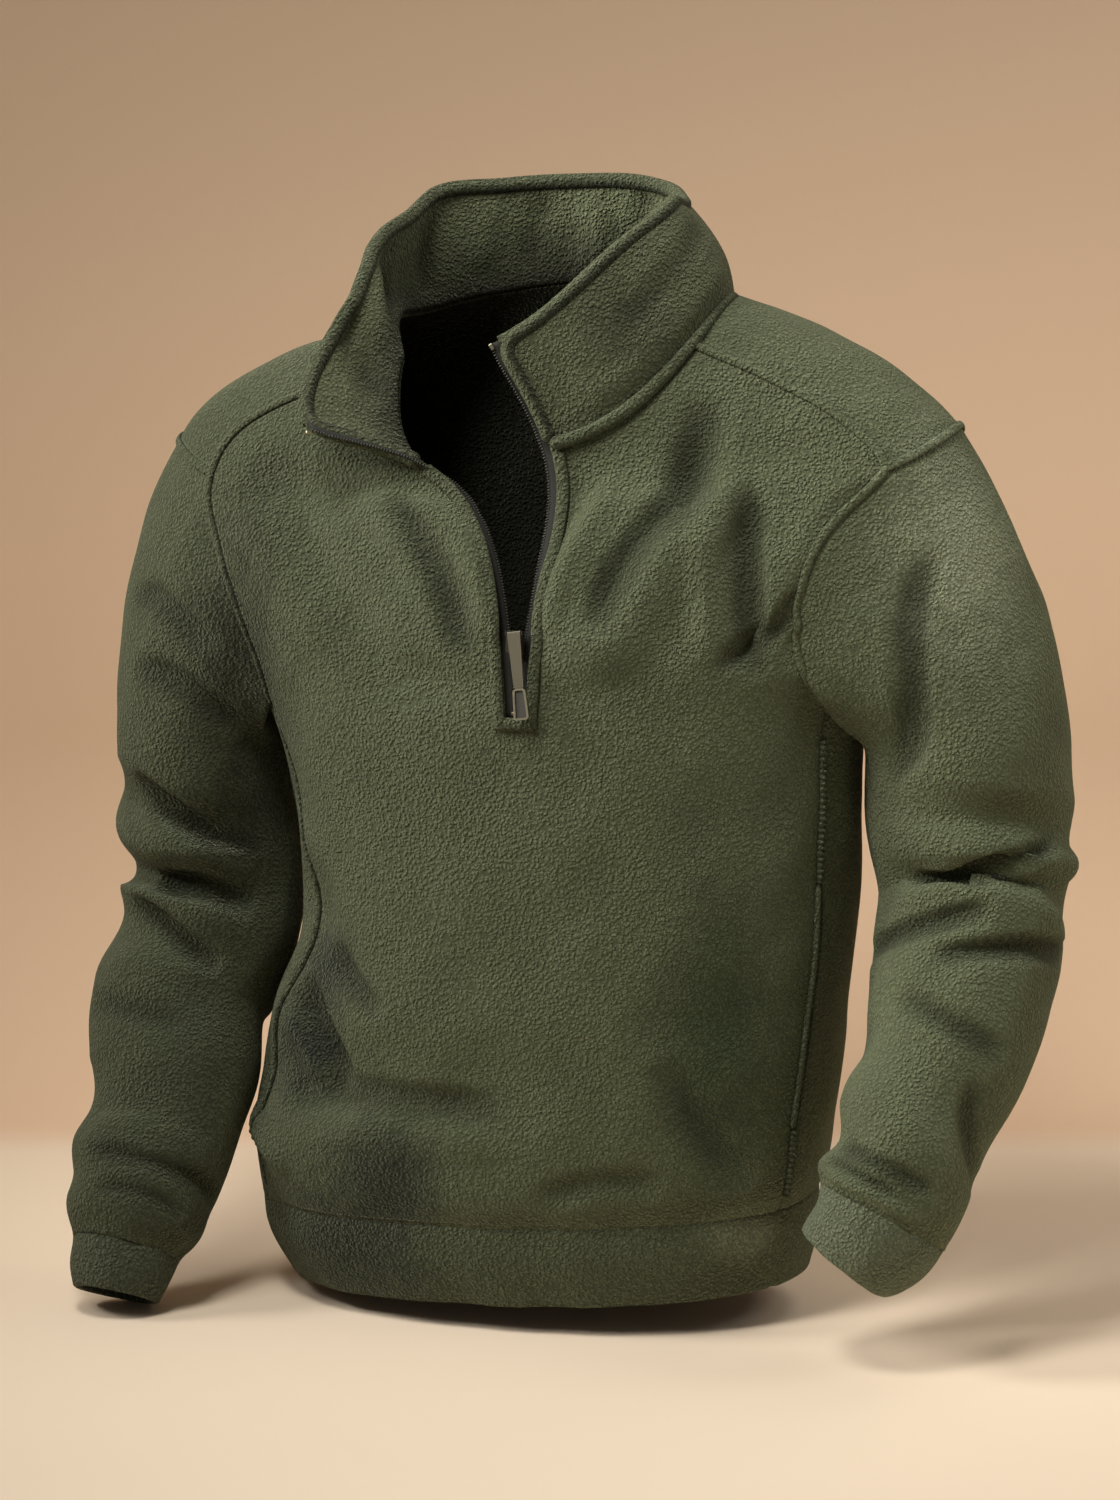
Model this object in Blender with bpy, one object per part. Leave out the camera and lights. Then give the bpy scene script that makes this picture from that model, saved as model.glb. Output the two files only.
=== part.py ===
"""Half-zip fleece pullover, filled out as it is worn, with nobody in it.

The front, back, sleeves, collar, hem band and cuffs are walls of cloth that meet at their seams.
The front, the back and each sleeve are one cut each, divided here into simpler solids.
Everything is in metres, +Z is up and the front faces -Y. The origin is the middle of the neck
opening, level with the top of the shoulders, where the wearer's neck and shoulders carry the
garment. "left" and "right" in names are the wearer's: the wearer's left is +X.
"""

import math

import bmesh
import bpy
import numpy as np
from mathutils import Matrix, Vector

# ---------------------------------------------------------------- driving sizes
FLEECE = 0.0026  # one layer of fleece
DOUBLED = 0.0048  # collar, hem band and cuffs are two layers
SEAM_INSET = 0.00022  # each piece stops this far short of its seam line
TORSO_RADIUS = 0.168  # mean, which turns degrees of turn into metres of cloth
SQUARENESS = 2.25  # of a level of the torso: 2 is an ellipse

# How many strips each edge is divided into. Pieces that share a seam share its points.
SIDE_ROWS = 12  # hem seam to underarm
FRONT_ARM_ROWS = 7  # underarm to the shoulder seam, up the front of the armhole
BACK_ARM_ROWS = 10  # underarm to the shoulder seam, up the back of the armhole
UNDERARM_COLUMNS = 2  # across the underarm, from the side seam to the back
SHOULDER_COLUMNS = 5  # along a shoulder seam
FRONT_NECK_COLUMNS = 3  # from a shoulder seam to the zip
BACK_NECK_COLUMNS = 5  # from a shoulder seam to the middle of the back
CAP_ROWS = 6  # armhole to the first row of ARM
ARM_ROWS = 15  # first row of ARM to the cuff seam
ELBOW_ROW = CAP_ROWS + 7
SLEEVE_PARTS = ("cap", "top", "upper", "elbow", "lower")  # the solids of a sleeve, from the shoulder down
COLLAR_ROWS = 3
BAND_ROWS = 2


# ---------------------------------------------------------------- tables and curves
def table(columns, rows):
    """A dict of named columns from rows of numbers."""
    return dict(zip(columns.split(), np.array(rows, float).T))


def smooth(knots, values, at):
    """A cubic curve through the rows of a table, read at one place or at many."""
    at = np.asarray(at, float)
    step = np.diff(values) / np.diff(knots)
    slope = np.concatenate([step[:1], (step[:-1] + step[1:]) / 2, step[-1:]])
    i = np.clip(np.searchsorted(knots, at) - 1, 0, len(knots) - 2)
    width = knots[i + 1] - knots[i]
    f = (at - knots[i]) / width
    rise = values[i] + (values[i + 1] - values[i]) * f * f * (3 - 2 * f)
    return rise + width * f * (1 - f) * (slope[i] * (1 - f) - slope[i + 1] * f)


def unit(vectors):
    return vectors / np.maximum(np.linalg.norm(vectors, axis=-1, keepdims=True), 1e-12)


def evenly(points, count):
    """count + 1 places at even distances along a smooth curve through a few points."""
    knots = np.arange(len(points), dtype=float)
    fine = np.linspace(0, knots[-1], 40 * len(points))
    curve = np.stack([smooth(knots, column, fine) for column in np.transpose(points)], axis=1)
    metres = curve * [math.radians(TORSO_RADIUS), 1]
    run = np.concatenate([[0], np.cumsum(np.linalg.norm(np.diff(metres, axis=0), axis=1))])
    at = np.linspace(0, run[-1], count + 1)
    return np.stack([np.interp(at, run, column) for column in curve.T], axis=1)


def blend(a, b, count):
    """count + 1 evenly spaced places from a to b."""
    share = np.linspace(0, 1, count + 1)[:, None]
    return np.asarray(a, float) * (1 - share) + np.asarray(b, float) * share


# ---------------------------------------------------------------- torso
# One row for each level of the torso, from the hem seam to the neck seam. side is the height at
# the wearer's sides; the level is at side + front_rise in the middle of the front, and at
# side + back_rise in the middle of the back. wide, front and back are half sizes from the level's
# middle, which is at x, y, and tilt is how much the level climbs towards the wearer's left.
TORSO = table(
    "side     wide   front  back   x       y      front_rise back_rise tilt",
    [
        [-0.622, 0.199, 0.128, 0.116, -0.014, 0.000, 0.000, 0.000, 0.040],
        [-0.604, 0.202, 0.135, 0.122, -0.011, 0.000, 0.000, 0.000, 0.034],
        [-0.567, 0.206, 0.139, 0.125, -0.010, 0.000, 0.000, 0.000, 0.022],
        [-0.489, 0.204, 0.139, 0.124, 0.000, 0.000, 0.000, 0.000, 0.010],
        [-0.435, 0.197, 0.138, 0.121, 0.013, 0.000, 0.000, 0.000, 0.010],
        [-0.345, 0.200, 0.140, 0.122, 0.013, 0.000, 0.000, 0.000, 0.010],
        [-0.270, 0.213, 0.143, 0.126, 0.005, 0.000, 0.000, 0.000, 0.014],
        [-0.200, 0.250, 0.138, 0.128, 0.005, 0.000, -0.005, 0.004, 0.024],
        [-0.143, 0.274, 0.126, 0.124, 0.004, 0.002, -0.018, 0.010, 0.026],
        [-0.095, 0.280, 0.112, 0.116, 0.003, 0.004, -0.038, 0.018, 0.026],
        [-0.058, 0.248, 0.104, 0.106, -0.003, 0.004, -0.060, 0.020, 0.028],
        [-0.028, 0.197, 0.102, 0.092, -0.002, 0.004, -0.084, 0.020, 0.036],
        [0.000, 0.118, 0.102, 0.078, 0.004, 0.004, -0.096, 0.014, 0.060],
    ],
)
HEM, NECK = TORSO["side"][0], TORSO["side"][-1]

# Where the seams cross the torso, in degrees of turn and in side height. Turn is 0 at the
# wearer's left side, 90 at the front and -90 at the back; the right side mirrors the left.
SIDE_SEAM = 24.0
BACK_CORNER = -14.0  # where the underarm turns up into the back of the armhole
FRONT_MIDDLE, BACK_MIDDLE = 90.0, -90.0
UNDERARM = -0.270
SHOULDER_END = (35.0, -0.098)  # where the shoulder seam meets the armhole
SHOULDER_NECK = (34.0, NECK)  # and where it meets the collar
FRONT_ARMHOLE = {
    1: [
        (SIDE_SEAM, UNDERARM),
        (38.0, -0.240),
        (45.0, -0.200),
        (47.0, -0.160),
        (43.5, -0.128),
        SHOULDER_END,
    ],
    -1: [
        (SIDE_SEAM, UNDERARM),
        (28.5, -0.240),
        (32.5, -0.200),
        (34.0, -0.160),
        (34.0, -0.128),
        SHOULDER_END,
    ],
}
BACK_ARMHOLE = [
    (BACK_CORNER, UNDERARM),
    (-28.0, -0.240),
    (-33.0, -0.190),
    (-31.0, -0.140),
    (-23.0, -0.104),
    (-8.0, -0.088),
    (10.0, -0.088),
    SHOULDER_END,
]

# The largest folds of the torso. A fold runs from one place to another, in turn and height; reach
# is its half width in metres and lift is how far it stands out, or in where it is below 0.
TORSO_FOLDS = table(
    "turn_a height_a turn_b height_b reach  lift",
    [
        [150.0, -0.420, 128.0, -0.520, 0.036, -0.010],
        [156.0, -0.535, 96.0, -0.525, 0.032, -0.006],
        [160.0, -0.580, 120.0, -0.575, 0.034, 0.006],
        [104.0, -0.100, 99.0, -0.215, 0.022, 0.010],
        [122.0, -0.090, 108.0, -0.230, 0.030, -0.009],
        [70.0, -0.100, 80.0, -0.215, 0.024, 0.009],
        [52.0, -0.080, 66.0, -0.190, 0.034, -0.007],
        [40.0, -0.130, 41.0, -0.215, 0.020, -0.007],
        [-50.0, -0.330, -120.0, -0.350, 0.034, -0.007],
        [-35.0, -0.470, -95.0, -0.490, 0.036, -0.007],
        [-145.0, -0.400, -95.0, -0.440, 0.034, -0.006],
        [-40.0, -0.160, -62.0, -0.250, 0.030, -0.006],
        [-140.0, -0.160, -118.0, -0.250, 0.030, -0.006],
    ],
)


def level(turn, height):
    """A point on the plain form of the torso, with no folds."""
    turn, height = np.broadcast_arrays(np.radians(turn), np.asarray(height, float))
    read = {name: smooth(TORSO["side"], TORSO[name], height) for name in TORSO if name != "side"}
    c, s = np.cos(turn), np.sin(turn)
    depth = np.where(s > 0, read["front"], read["back"])
    rise = np.where(s > 0, read["front_rise"], read["back_rise"])
    power = 2 / SQUARENESS
    return np.stack(
        [
            read["x"] + read["wide"] * np.sign(c) * np.abs(c) ** power,
            read["y"] - depth * np.sign(s) * np.abs(s) ** power,
            height + rise * s * s + read["tilt"] * read["wide"] * c,
        ],
        axis=-1,
    )


def facing(surface, turn, height):
    """The outward normal of a surface that is a function of turn and height."""
    small_turn, small_rise = 0.5, 0.001
    over = surface(turn + small_turn, height) - surface(turn - small_turn, height)
    up = surface(turn, height + small_rise) - surface(turn, height - small_rise)
    return unit(np.cross(up, over))


def fold_lift(folds, turn, height):
    """How far the cloth stands out at a place, from all the folds of a table."""
    total = np.zeros(np.broadcast(turn, height).shape)
    for turn_a, height_a, turn_b, height_b, reach, lift in zip(*folds.values()):
        run = np.array([math.radians(turn_b - turn_a) * TORSO_RADIUS, height_b - height_a])
        across = np.radians((turn - turn_a + 180) % 360 - 180) * TORSO_RADIUS
        rise = height - height_a
        share = np.clip((across * run[0] + rise * run[1]) / (run @ run), 0, 1)
        off = np.hypot(across - share * run[0], rise - share * run[1]) / (1.6 * reach)
        total = total + lift * (1 - np.clip(off, 0, 1) ** 2) ** 2
    return total


def torso(turn, height):
    """A point on the outer face of the torso, with its largest folds."""
    turn, height = np.broadcast_arrays(np.asarray(turn, float), np.asarray(height, float))
    lift = fold_lift(TORSO_FOLDS, turn, height)
    return level(turn, height) + facing(level, turn, height) * lift[..., None]


def turn_at(height, across):
    """The turn, on the front, where a level is this many metres to the left of its middle."""
    wide = smooth(TORSO["side"], TORSO["wide"], height)
    c = np.sign(across) * (np.abs(across) / wide) ** (SQUARENESS / 2)
    return np.degrees(np.arccos(c))


def on_side(turn, side):
    """A turn of the wearer's left side, mirrored to the right where side is -1."""
    return turn if side > 0 else 180 - turn


# ---------------------------------------------------------------- the half zip
# The zip is open above its slider. left and right are how far each row of teeth lies from the
# middle of the front, at each height of the slit.
NECK_ENDS = {1: NECK, -1: -0.019}  # the height of the neck seam's left and right end
SLIT = table(
    "height  left   right",
    [
        [-0.214, 0.0000, 0.0000],
        [-0.170, 0.0080, 0.0090],
        [-0.120, 0.0160, 0.0180],
        [-0.080, 0.0200, 0.0260],
        [-0.040, 0.0210, 0.0420],
        [0.000, 0.0160, 0.0620],
    ],
)
ZIP_HALF = 0.0065  # from the teeth to the edge of the cloth
TEETH_GAP = 0.00025  # each row of teeth stops this far short of the middle
LAYER_GAP = 0.0008  # between layers that lie on each other


def zip_line(side, height, beyond=0.0):
    """The turn of one row of teeth, or of a line this far beyond it, on the front."""
    column = SLIT["left"] if side > 0 else SLIT["right"]
    spread = np.where(height < SLIT["height"][0], 0.0, smooth(SLIT["height"], column, height))
    return turn_at(height, side * (spread + beyond))


# ---------------------------------------------------------------- panels of the torso
def patch(outer, inner, top, first_row):
    """A grid of turn and height between an outer edge, an inner edge and a top edge."""
    rows, columns = len(outer) - 1, len(top) - 1
    share = np.linspace(0, 1, columns + 1)[None, :, None]
    grid = outer[:, None] * (1 - share) + inner[:, None] * share
    pull = np.clip((np.arange(rows + 1) - first_row) / (rows - first_row), 0, 1)
    straight = top[0] * (1 - share[0]) + top[-1] * share[0]
    return grid + pull[:, None, None] * (top - straight)


def stacked(lower, upper):
    return np.concatenate([lower[:-1], upper])


def front_half(side):
    """The left or right half of the front, from its side seam in to the slit."""
    outer = stacked(
        blend((SIDE_SEAM, HEM), (SIDE_SEAM, UNDERARM), SIDE_ROWS),
        evenly(FRONT_ARMHOLE[side], FRONT_ARM_ROWS),
    )
    low = np.linspace(HEM, UNDERARM, SIDE_ROWS + 1)
    heights = stacked(low, np.linspace(UNDERARM, NECK, FRONT_ARM_ROWS + 1))
    heights[-1] = NECK_ENDS[side]
    edge = zip_line(side, heights, ZIP_HALF)
    inner = np.stack([on_side(edge, side), heights], axis=1)
    top = stacked(
        blend(SHOULDER_END, SHOULDER_NECK, SHOULDER_COLUMNS),
        blend(SHOULDER_NECK, inner[-1], FRONT_NECK_COLUMNS),
    )
    grid = patch(outer, inner, top, SIDE_ROWS)
    return np.stack([on_side(grid[..., 0], side), grid[..., 1]], axis=-1)


def back_half(side):
    """The left or right half of the back, from its side seam to the middle of the back.

    Its first UNDERARM_COLUMNS columns stop at the underarm. Above it their places aren't used.
    """
    low = np.linspace(HEM, UNDERARM, SIDE_ROWS + 1)
    wrap = blend((SIDE_SEAM, 0), (BACK_CORNER, 0), UNDERARM_COLUMNS)[:-1, 0]
    columns = SHOULDER_COLUMNS + BACK_NECK_COLUMNS
    outer = stacked(
        np.stack([np.full(SIDE_ROWS + 1, BACK_CORNER), low], axis=1),
        evenly(BACK_ARMHOLE, BACK_ARM_ROWS),
    )
    inner = stacked(
        np.stack([np.full(SIDE_ROWS + 1, BACK_MIDDLE), low], axis=1),
        blend((BACK_MIDDLE, UNDERARM), (BACK_MIDDLE, NECK), BACK_ARM_ROWS),
    )
    top = stacked(
        blend(SHOULDER_END, SHOULDER_NECK, SHOULDER_COLUMNS),
        blend(SHOULDER_NECK, (BACK_MIDDLE, NECK), columns - SHOULDER_COLUMNS),
    )
    grid = patch(outer, inner, top, SIDE_ROWS)
    wrapped = np.zeros((len(grid), UNDERARM_COLUMNS, 2))
    wrapped[..., 0] = wrap
    wrapped[..., 1] = np.minimum(outer[:, 1], UNDERARM)[:, None]
    grid = np.concatenate([wrapped, grid], axis=1)
    return np.stack([on_side(grid[..., 0], side), grid[..., 1]], axis=-1)


def armhole(side):
    """The seam of an armhole, all round: under the arm to the front, up, and down the back."""
    under = blend((BACK_CORNER, UNDERARM), (SIDE_SEAM, UNDERARM), UNDERARM_COLUMNS)
    front = evenly(FRONT_ARMHOLE[side], FRONT_ARM_ROWS)
    back = evenly(BACK_ARMHOLE, BACK_ARM_ROWS)[::-1]
    loop = np.concatenate([under[:-1], front[:-1], back[:-1]])
    return np.stack([on_side(loop[:, 0], side), loop[:, 1]], axis=1)


# ---------------------------------------------------------------- sleeves
# One row for each level of an arm, from just under the armhole to the cuff seam and the cuff's
# end: the middle of the sleeve, and its half sizes across and from front to back.
ARM = {
    1: table(
        "x      y       z       wide   deep",
        [
            [0.287, 0.002, -0.305, 0.070, 0.086],
            [0.290, -0.003, -0.355, 0.071, 0.078],
            [0.294, -0.012, -0.402, 0.064, 0.070],
            [0.292, -0.040, -0.448, 0.063, 0.066],
            [0.285, -0.072, -0.497, 0.056, 0.060],
            [0.270, -0.102, -0.540, 0.050, 0.056],
            [0.252, -0.126, -0.598, 0.046, 0.050],
            [0.228, -0.133, -0.628, 0.036, 0.040],
        ],
    ),
    -1: table(
        "x      y       z       wide   deep",
        [
            [-0.263, 0.014, -0.318, 0.065, 0.086],
            [-0.261, 0.015, -0.375, 0.064, 0.078],
            [-0.257, 0.008, -0.432, 0.064, 0.070],
            [-0.276, -0.016, -0.495, 0.064, 0.066],
            [-0.272, -0.050, -0.548, 0.060, 0.060],
            [-0.276, -0.088, -0.606, 0.052, 0.054],
            [-0.284, -0.118, -0.657, 0.038, 0.040],
            [-0.287, -0.130, -0.685, 0.031, 0.032],
        ],
    ),
}
CUFF_SEAM = 6  # the row of ARM that is the cuff seam
CAP_SLOPE, UNDER_SLOPE = math.radians(57), math.radians(72)  # how steeply a sleeve leaves the torso

# The largest folds of the sleeves: rings, part of the way round. at is the row of ARM, angle is
# where round the sleeve its middle is, in degrees from the side that faces the torso, through
# the front; spread is its half length in degrees, and reach its half width in rows of ARM.
SLEEVE_FOLDS = {
    1: table(
        "at    angle  spread reach lift   slant",
        [
            [0.90, 130.0, 90.0, 0.34, -0.008, 0.40],
            [1.35, 120.0, 80.0, 0.30, 0.006, 0.40],
            [1.85, 120.0, 85.0, 0.30, -0.009, 0.20],
            [2.40, 110.0, 80.0, 0.32, 0.006, -0.10],
            [4.70, 100.0, 100.0, 0.34, -0.006, 0.40],
            [5.30, 90.0, 110.0, 0.34, 0.005, 0.40],
            [5.35, 20.0, 60.0, 0.20, -0.005, 0.00],
            [5.70, 20.0, 90.0, 0.20, 0.006, 0.00],
            [1.70, 300.0, 70.0, 0.34, -0.007, 0.20],
            [3.10, 290.0, 80.0, 0.36, -0.006, -0.20],
        ],
    ),
    -1: table(
        "at    angle  spread reach lift   slant",
        [
            [0.60, 110.0, 80.0, 0.34, -0.008, -0.50],
            [1.10, 120.0, 80.0, 0.30, 0.006, -0.40],
            [1.60, 110.0, 90.0, 0.32, -0.011, -0.30],
            [2.20, 100.0, 90.0, 0.30, 0.008, -0.20],
            [2.55, 110.0, 80.0, 0.26, -0.010, 0.10],
            [4.55, 110.0, 100.0, 0.34, -0.008, -0.30],
            [5.10, 110.0, 110.0, 0.30, 0.006, -0.20],
            [5.62, 90.0, 180.0, 0.24, 0.007, 0.00],
            [1.70, 290.0, 70.0, 0.34, -0.007, 0.20],
            [3.40, 290.0, 80.0, 0.36, -0.006, -0.20],
        ],
    ),
}


def round_shares(loop):
    """How far round an armhole each of its points is, from 0 to 1, from the middle of the underarm."""
    closed = np.concatenate([loop, loop[:1]])
    run = np.concatenate([[0], np.cumsum(np.linalg.norm(np.diff(closed, axis=0), axis=1))])
    middle = run[UNDERARM_COLUMNS] / 2
    return (run[:-1] - middle) / run[-1]


def sleeve_fold(side, at, angle):
    folds = SLEEVE_FOLDS[side]
    total = np.zeros(np.broadcast(at, angle).shape)
    for row, middle, spread, reach, lift, slant in zip(*folds.values()):
        off = (np.degrees(angle) - middle + 180) % 360 - 180
        end = 1 - np.clip(np.abs(off) / spread, 0, 1) ** 2
        near = 1 - np.clip(np.abs(at - row - slant * off / 90) / (1.6 * reach), 0, 1) ** 2
        total = total + lift * end * near**2
    return total


def arm_frame(side, at):
    """The middle, across, depth and along axes and half sizes of a sleeve, at places in its table."""
    rows = ARM[side]
    knots = np.arange(len(rows["x"]), dtype=float)
    middle = np.stack([smooth(knots, rows[name], at) for name in "xyz"], axis=-1)
    ahead = np.stack([smooth(knots, rows[name], at + 0.02) for name in "xyz"], axis=-1)
    axis = unit(ahead - middle)
    across = np.array([side, 0.0, 0.0]) - axis * (axis @ [side, 0.0, 0.0])[..., None]
    across = unit(across)
    depth = np.cross(across, axis) * side
    wide, deep = (smooth(knots, rows[name], at) for name in ("wide", "deep"))
    return middle, across, depth, axis, wide, deep


def arm_ring(side, at, angle):
    """A point on the outer face of a sleeve, at a place in its table and an angle round it."""
    middle, across, depth, _, wide, deep = arm_frame(side, at)
    stand = sleeve_fold(side, at, angle)
    return (
        middle
        - across * ((wide + stand) * np.cos(angle))[..., None]
        - depth * ((deep + stand) * np.sin(angle))[..., None]
    )


def sleeve_grid(side, seam):
    """The outer face of a sleeve, a row of points for each level, from the armhole to the cuff."""
    angle = 2 * math.pi * round_shares(seam)
    zero = np.zeros(len(angle))
    first = arm_ring(side, zero, angle)
    slope = CAP_SLOPE + (UNDER_SLOPE - CAP_SLOPE) * ((1 + np.cos(angle)) / 2)
    reach = np.linalg.norm(first - seam, axis=1, keepdims=True)
    leave = np.stack([side * np.cos(slope), zero, -np.sin(slope)], axis=1) * reach
    arrive = arm_frame(side, zero)[3] * reach
    rows = []
    for t in np.linspace(0, 1, CAP_ROWS + 1)[:-1]:
        rows.append(
            seam * (1 + 2 * t) * (1 - t) ** 2
            + leave * t * (1 - t) ** 2
            + first * t * t * (3 - 2 * t)
            + arrive * t * t * (t - 1)
        )
    for at in np.linspace(0, CUFF_SEAM, ARM_ROWS + 1):
        rows.append(arm_ring(side, zero + at, angle))
    return np.array(rows)


def cuff_grid(side, seam):
    """The outer face of a cuff, from the last row of its sleeve to its open end."""
    angle = 2 * math.pi * round_shares(seam)
    rows = np.linspace(CUFF_SEAM, len(ARM[side]["x"]) - 1, BAND_ROWS + 1)
    return np.array([arm_ring(side, np.full(len(angle), at), angle) for at in rows])


# ---------------------------------------------------------------- collar
# The collar stands up from the neck seam. One row for each place round the neck, in turn from the
# wearer's right end of the open zip, round the back, to the left end: how far the top edge is
# from the seam, and how far the middle of its height bulges out. Its right front is laid open.
COLLAR = table(
    "turn   lean_x  lean_y  rise   bulge",
    [
        [110.0, -0.085, -0.024, 0.023, 0.004],
        [140.0, -0.043, -0.006, 0.038, 0.005],
        [165.0, -0.017, 0.000, 0.054, 0.005],
        [195.0, -0.006, -0.010, 0.069, 0.006],
        [222.0, -0.014, -0.009, 0.079, 0.004],
        [245.0, -0.006, 0.000, 0.077, 0.004],
        [270.0, 0.000, 0.003, 0.074, 0.004],
        [295.0, -0.012, 0.002, 0.072, 0.004],
        [335.0, -0.032, -0.008, 0.066, 0.006],
        [360.0, -0.040, -0.006, 0.066, 0.008],
        [385.0, -0.031, -0.002, 0.077, 0.008],
        [410.0, -0.038, -0.001, 0.084, 0.006],
        [440.0, -0.045, -0.007, 0.073, 0.003],
    ],
)


def collar_grid(seam, turn):
    read = {name: smooth(COLLAR["turn"], COLLAR[name], turn) for name in COLLAR if name != "turn"}
    lean = np.stack([read["lean_x"], read["lean_y"], read["rise"]], axis=1)
    around = unit(np.gradient(seam, axis=0))
    out = unit(np.cross(lean, around))
    rows = []
    for t in np.linspace(0, 1, COLLAR_ROWS + 1):
        rows.append(seam + lean * t + out * read["bulge"][:, None] * 4 * t * (1 - t))
    return np.array(rows)


# ---------------------------------------------------------------- hem band
HEM_BAND = table(
    "drop   scale  shift",
    [[0.000, 1.000, 0.000], [0.020, 0.990, 0.002], [0.055, 0.935, 0.007]],
)


def band_grid(seam):
    middle = np.array([TORSO["x"][0], TORSO["y"][0], 0])
    rows = []
    for drop in np.linspace(0, HEM_BAND["drop"][-1], BAND_ROWS + 1):
        scale, shift = (smooth(HEM_BAND["drop"], HEM_BAND[name], drop) for name in ("scale", "shift"))
        rows.append(middle + (seam - middle) * [scale, scale, 1] + [shift, 0, -drop])
    return np.array(rows)


# ---------------------------------------------------------------- making the pieces
MATERIALS = {
    # name: (base colour, roughness, metallic)
    "fleece": ((0.085, 0.095, 0.052), 0.95, 0.0),
    "fleece_trim": ((0.075, 0.083, 0.046), 0.95, 0.0),
    "zip_tape": ((0.016, 0.017, 0.010), 0.80, 0.0),
    "pull_body": ((0.100, 0.092, 0.058), 0.55, 0.0),
    "pull_metal": ((0.480, 0.460, 0.360), 0.35, 1.0),
    "slider_metal": ((0.120, 0.105, 0.070), 0.40, 1.0),
}


def material(name):
    found = bpy.data.materials.get(name)
    if found:
        return found
    colour, roughness, metallic = MATERIALS[name]
    made = bpy.data.materials.new(name)
    made.use_nodes = True
    shader = made.node_tree.nodes["Principled BSDF"]
    shader.inputs["Base Color"].default_value = (*colour, 1)
    shader.inputs["Roughness"].default_value = roughness
    shader.inputs["Metallic"].default_value = metallic
    made.diffuse_color = (*colour, 1)
    return made


SPLIT_BY = Vector((0.37, 0.11, 1.0))  # no seam runs square to it


def add(name, mesh, finish):
    data = bpy.data.meshes.new(name)
    mesh.to_mesh(data)
    mesh.free()
    data.materials.append(material(finish))
    made = bpy.data.objects.new(name, data)
    bpy.context.scene.collection.objects.link(made)
    return made


def grid_normals(points, closed):
    """Normals of a grid of points whose columns run round and whose rows run along."""
    if closed:
        over = np.roll(points, -1, axis=1) - np.roll(points, 1, axis=1)
    else:
        over = np.gradient(points, axis=1)
    return unit(np.cross(np.gradient(points, axis=0), over))


def away_from_middle(points, normals):
    """Normals of a tube, turned to face out of it."""
    middle = points.mean(axis=1, keepdims=True)
    sign = np.sign(((points - middle) * normals).sum(axis=2).mean())
    return normals * sign


def mitre(normal_a, normal_b):
    """The direction that the edges of two walls share at their seam, per metre of thickness."""
    both = unit(normal_a + normal_b)
    return both / np.maximum((both * normal_a).sum(axis=-1, keepdims=True), 0.62)


def cloth(name, points, normals, thickness, finish, closed=False, cut=()):
    """A wall of cloth from a grid of points on its outer face, and its normals there.

    cut holds the (row, column) cells that the piece hasn't got.
    """
    rows, columns = len(points) - 1, points.shape[1] - (0 if closed else 1)
    if closed:
        points = np.concatenate([points, points[:, :1]], axis=1)
        normals = np.concatenate([normals, normals[:, :1]], axis=1)
    mesh = bmesh.new()
    bmesh.ops.create_grid(mesh, x_segments=columns, y_segments=rows, size=1)
    scale = Vector((columns / 2, rows / 2))

    def place(co):
        return (co.y + 1) * scale.y, (co.x + 1) * scale.x

    dropped = []
    for face in mesh.faces:
        i, j = place(face.calc_center_median())
        if (int(i), int(j)) in cut:
            dropped.append(face)
    bmesh.ops.delete(mesh, geom=dropped, context="FACES")
    depth = mesh.verts.layers.float_vector.new("depth")
    for vert in mesh.verts:
        i, j = (round(share) for share in place(vert.co))
        vert.co = points[i, j]
        vert[depth] = normals[i, j] * -thickness
    if closed:
        bmesh.ops.remove_doubles(mesh, verts=mesh.verts, dist=1e-6)
    pull_in(mesh)
    made = bmesh.ops.extrude_face_region(mesh, geom=mesh.faces[:], use_keep_orig=True)
    inner = {vert for vert in made["geom"] if isinstance(vert, bmesh.types.BMVert)}
    for vert in inner:
        vert.co += vert[depth]
    split_walls(mesh, inner)
    bmesh.ops.recalc_face_normals(mesh, faces=mesh.faces)
    return add(name, mesh, finish)


def split_walls(mesh, inner):
    """Splits the faces round the edge of a piece the way its neighbour's are, from their higher end."""
    for face in [face for face in mesh.faces if 0 < len(inner.intersection(face.verts)) < 4]:
        outer = [vert for vert in face.verts if vert not in inner]
        high = max(outer, key=lambda vert: vert.co.dot(SPLIT_BY))
        beside = {edge.other_vert(high) for edge in high.link_edges}
        far = next(vert for vert in face.verts if vert in inner and vert not in beside)
        bmesh.utils.face_split(face, high, far)


def pull_in(mesh):
    """Moves the edge of a sheet in by the seam's inset, square to its sides."""
    moves = {}
    for edge in mesh.edges:
        if not edge.is_boundary:
            continue
        face = edge.link_faces[0]
        run = (edge.verts[1].co - edge.verts[0].co).normalized()
        inward = face.calc_center_median() - edge.verts[0].co
        inward = (inward - run * inward.dot(run)).normalized()
        for vert in edge.verts:
            moves.setdefault(vert, []).append(inward)
    for vert, sides in moves.items():
        total = sides[0] + sides[1]
        vert.co += total * (SEAM_INSET / max(0.5, 1 + sides[0].dot(sides[1])))


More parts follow.
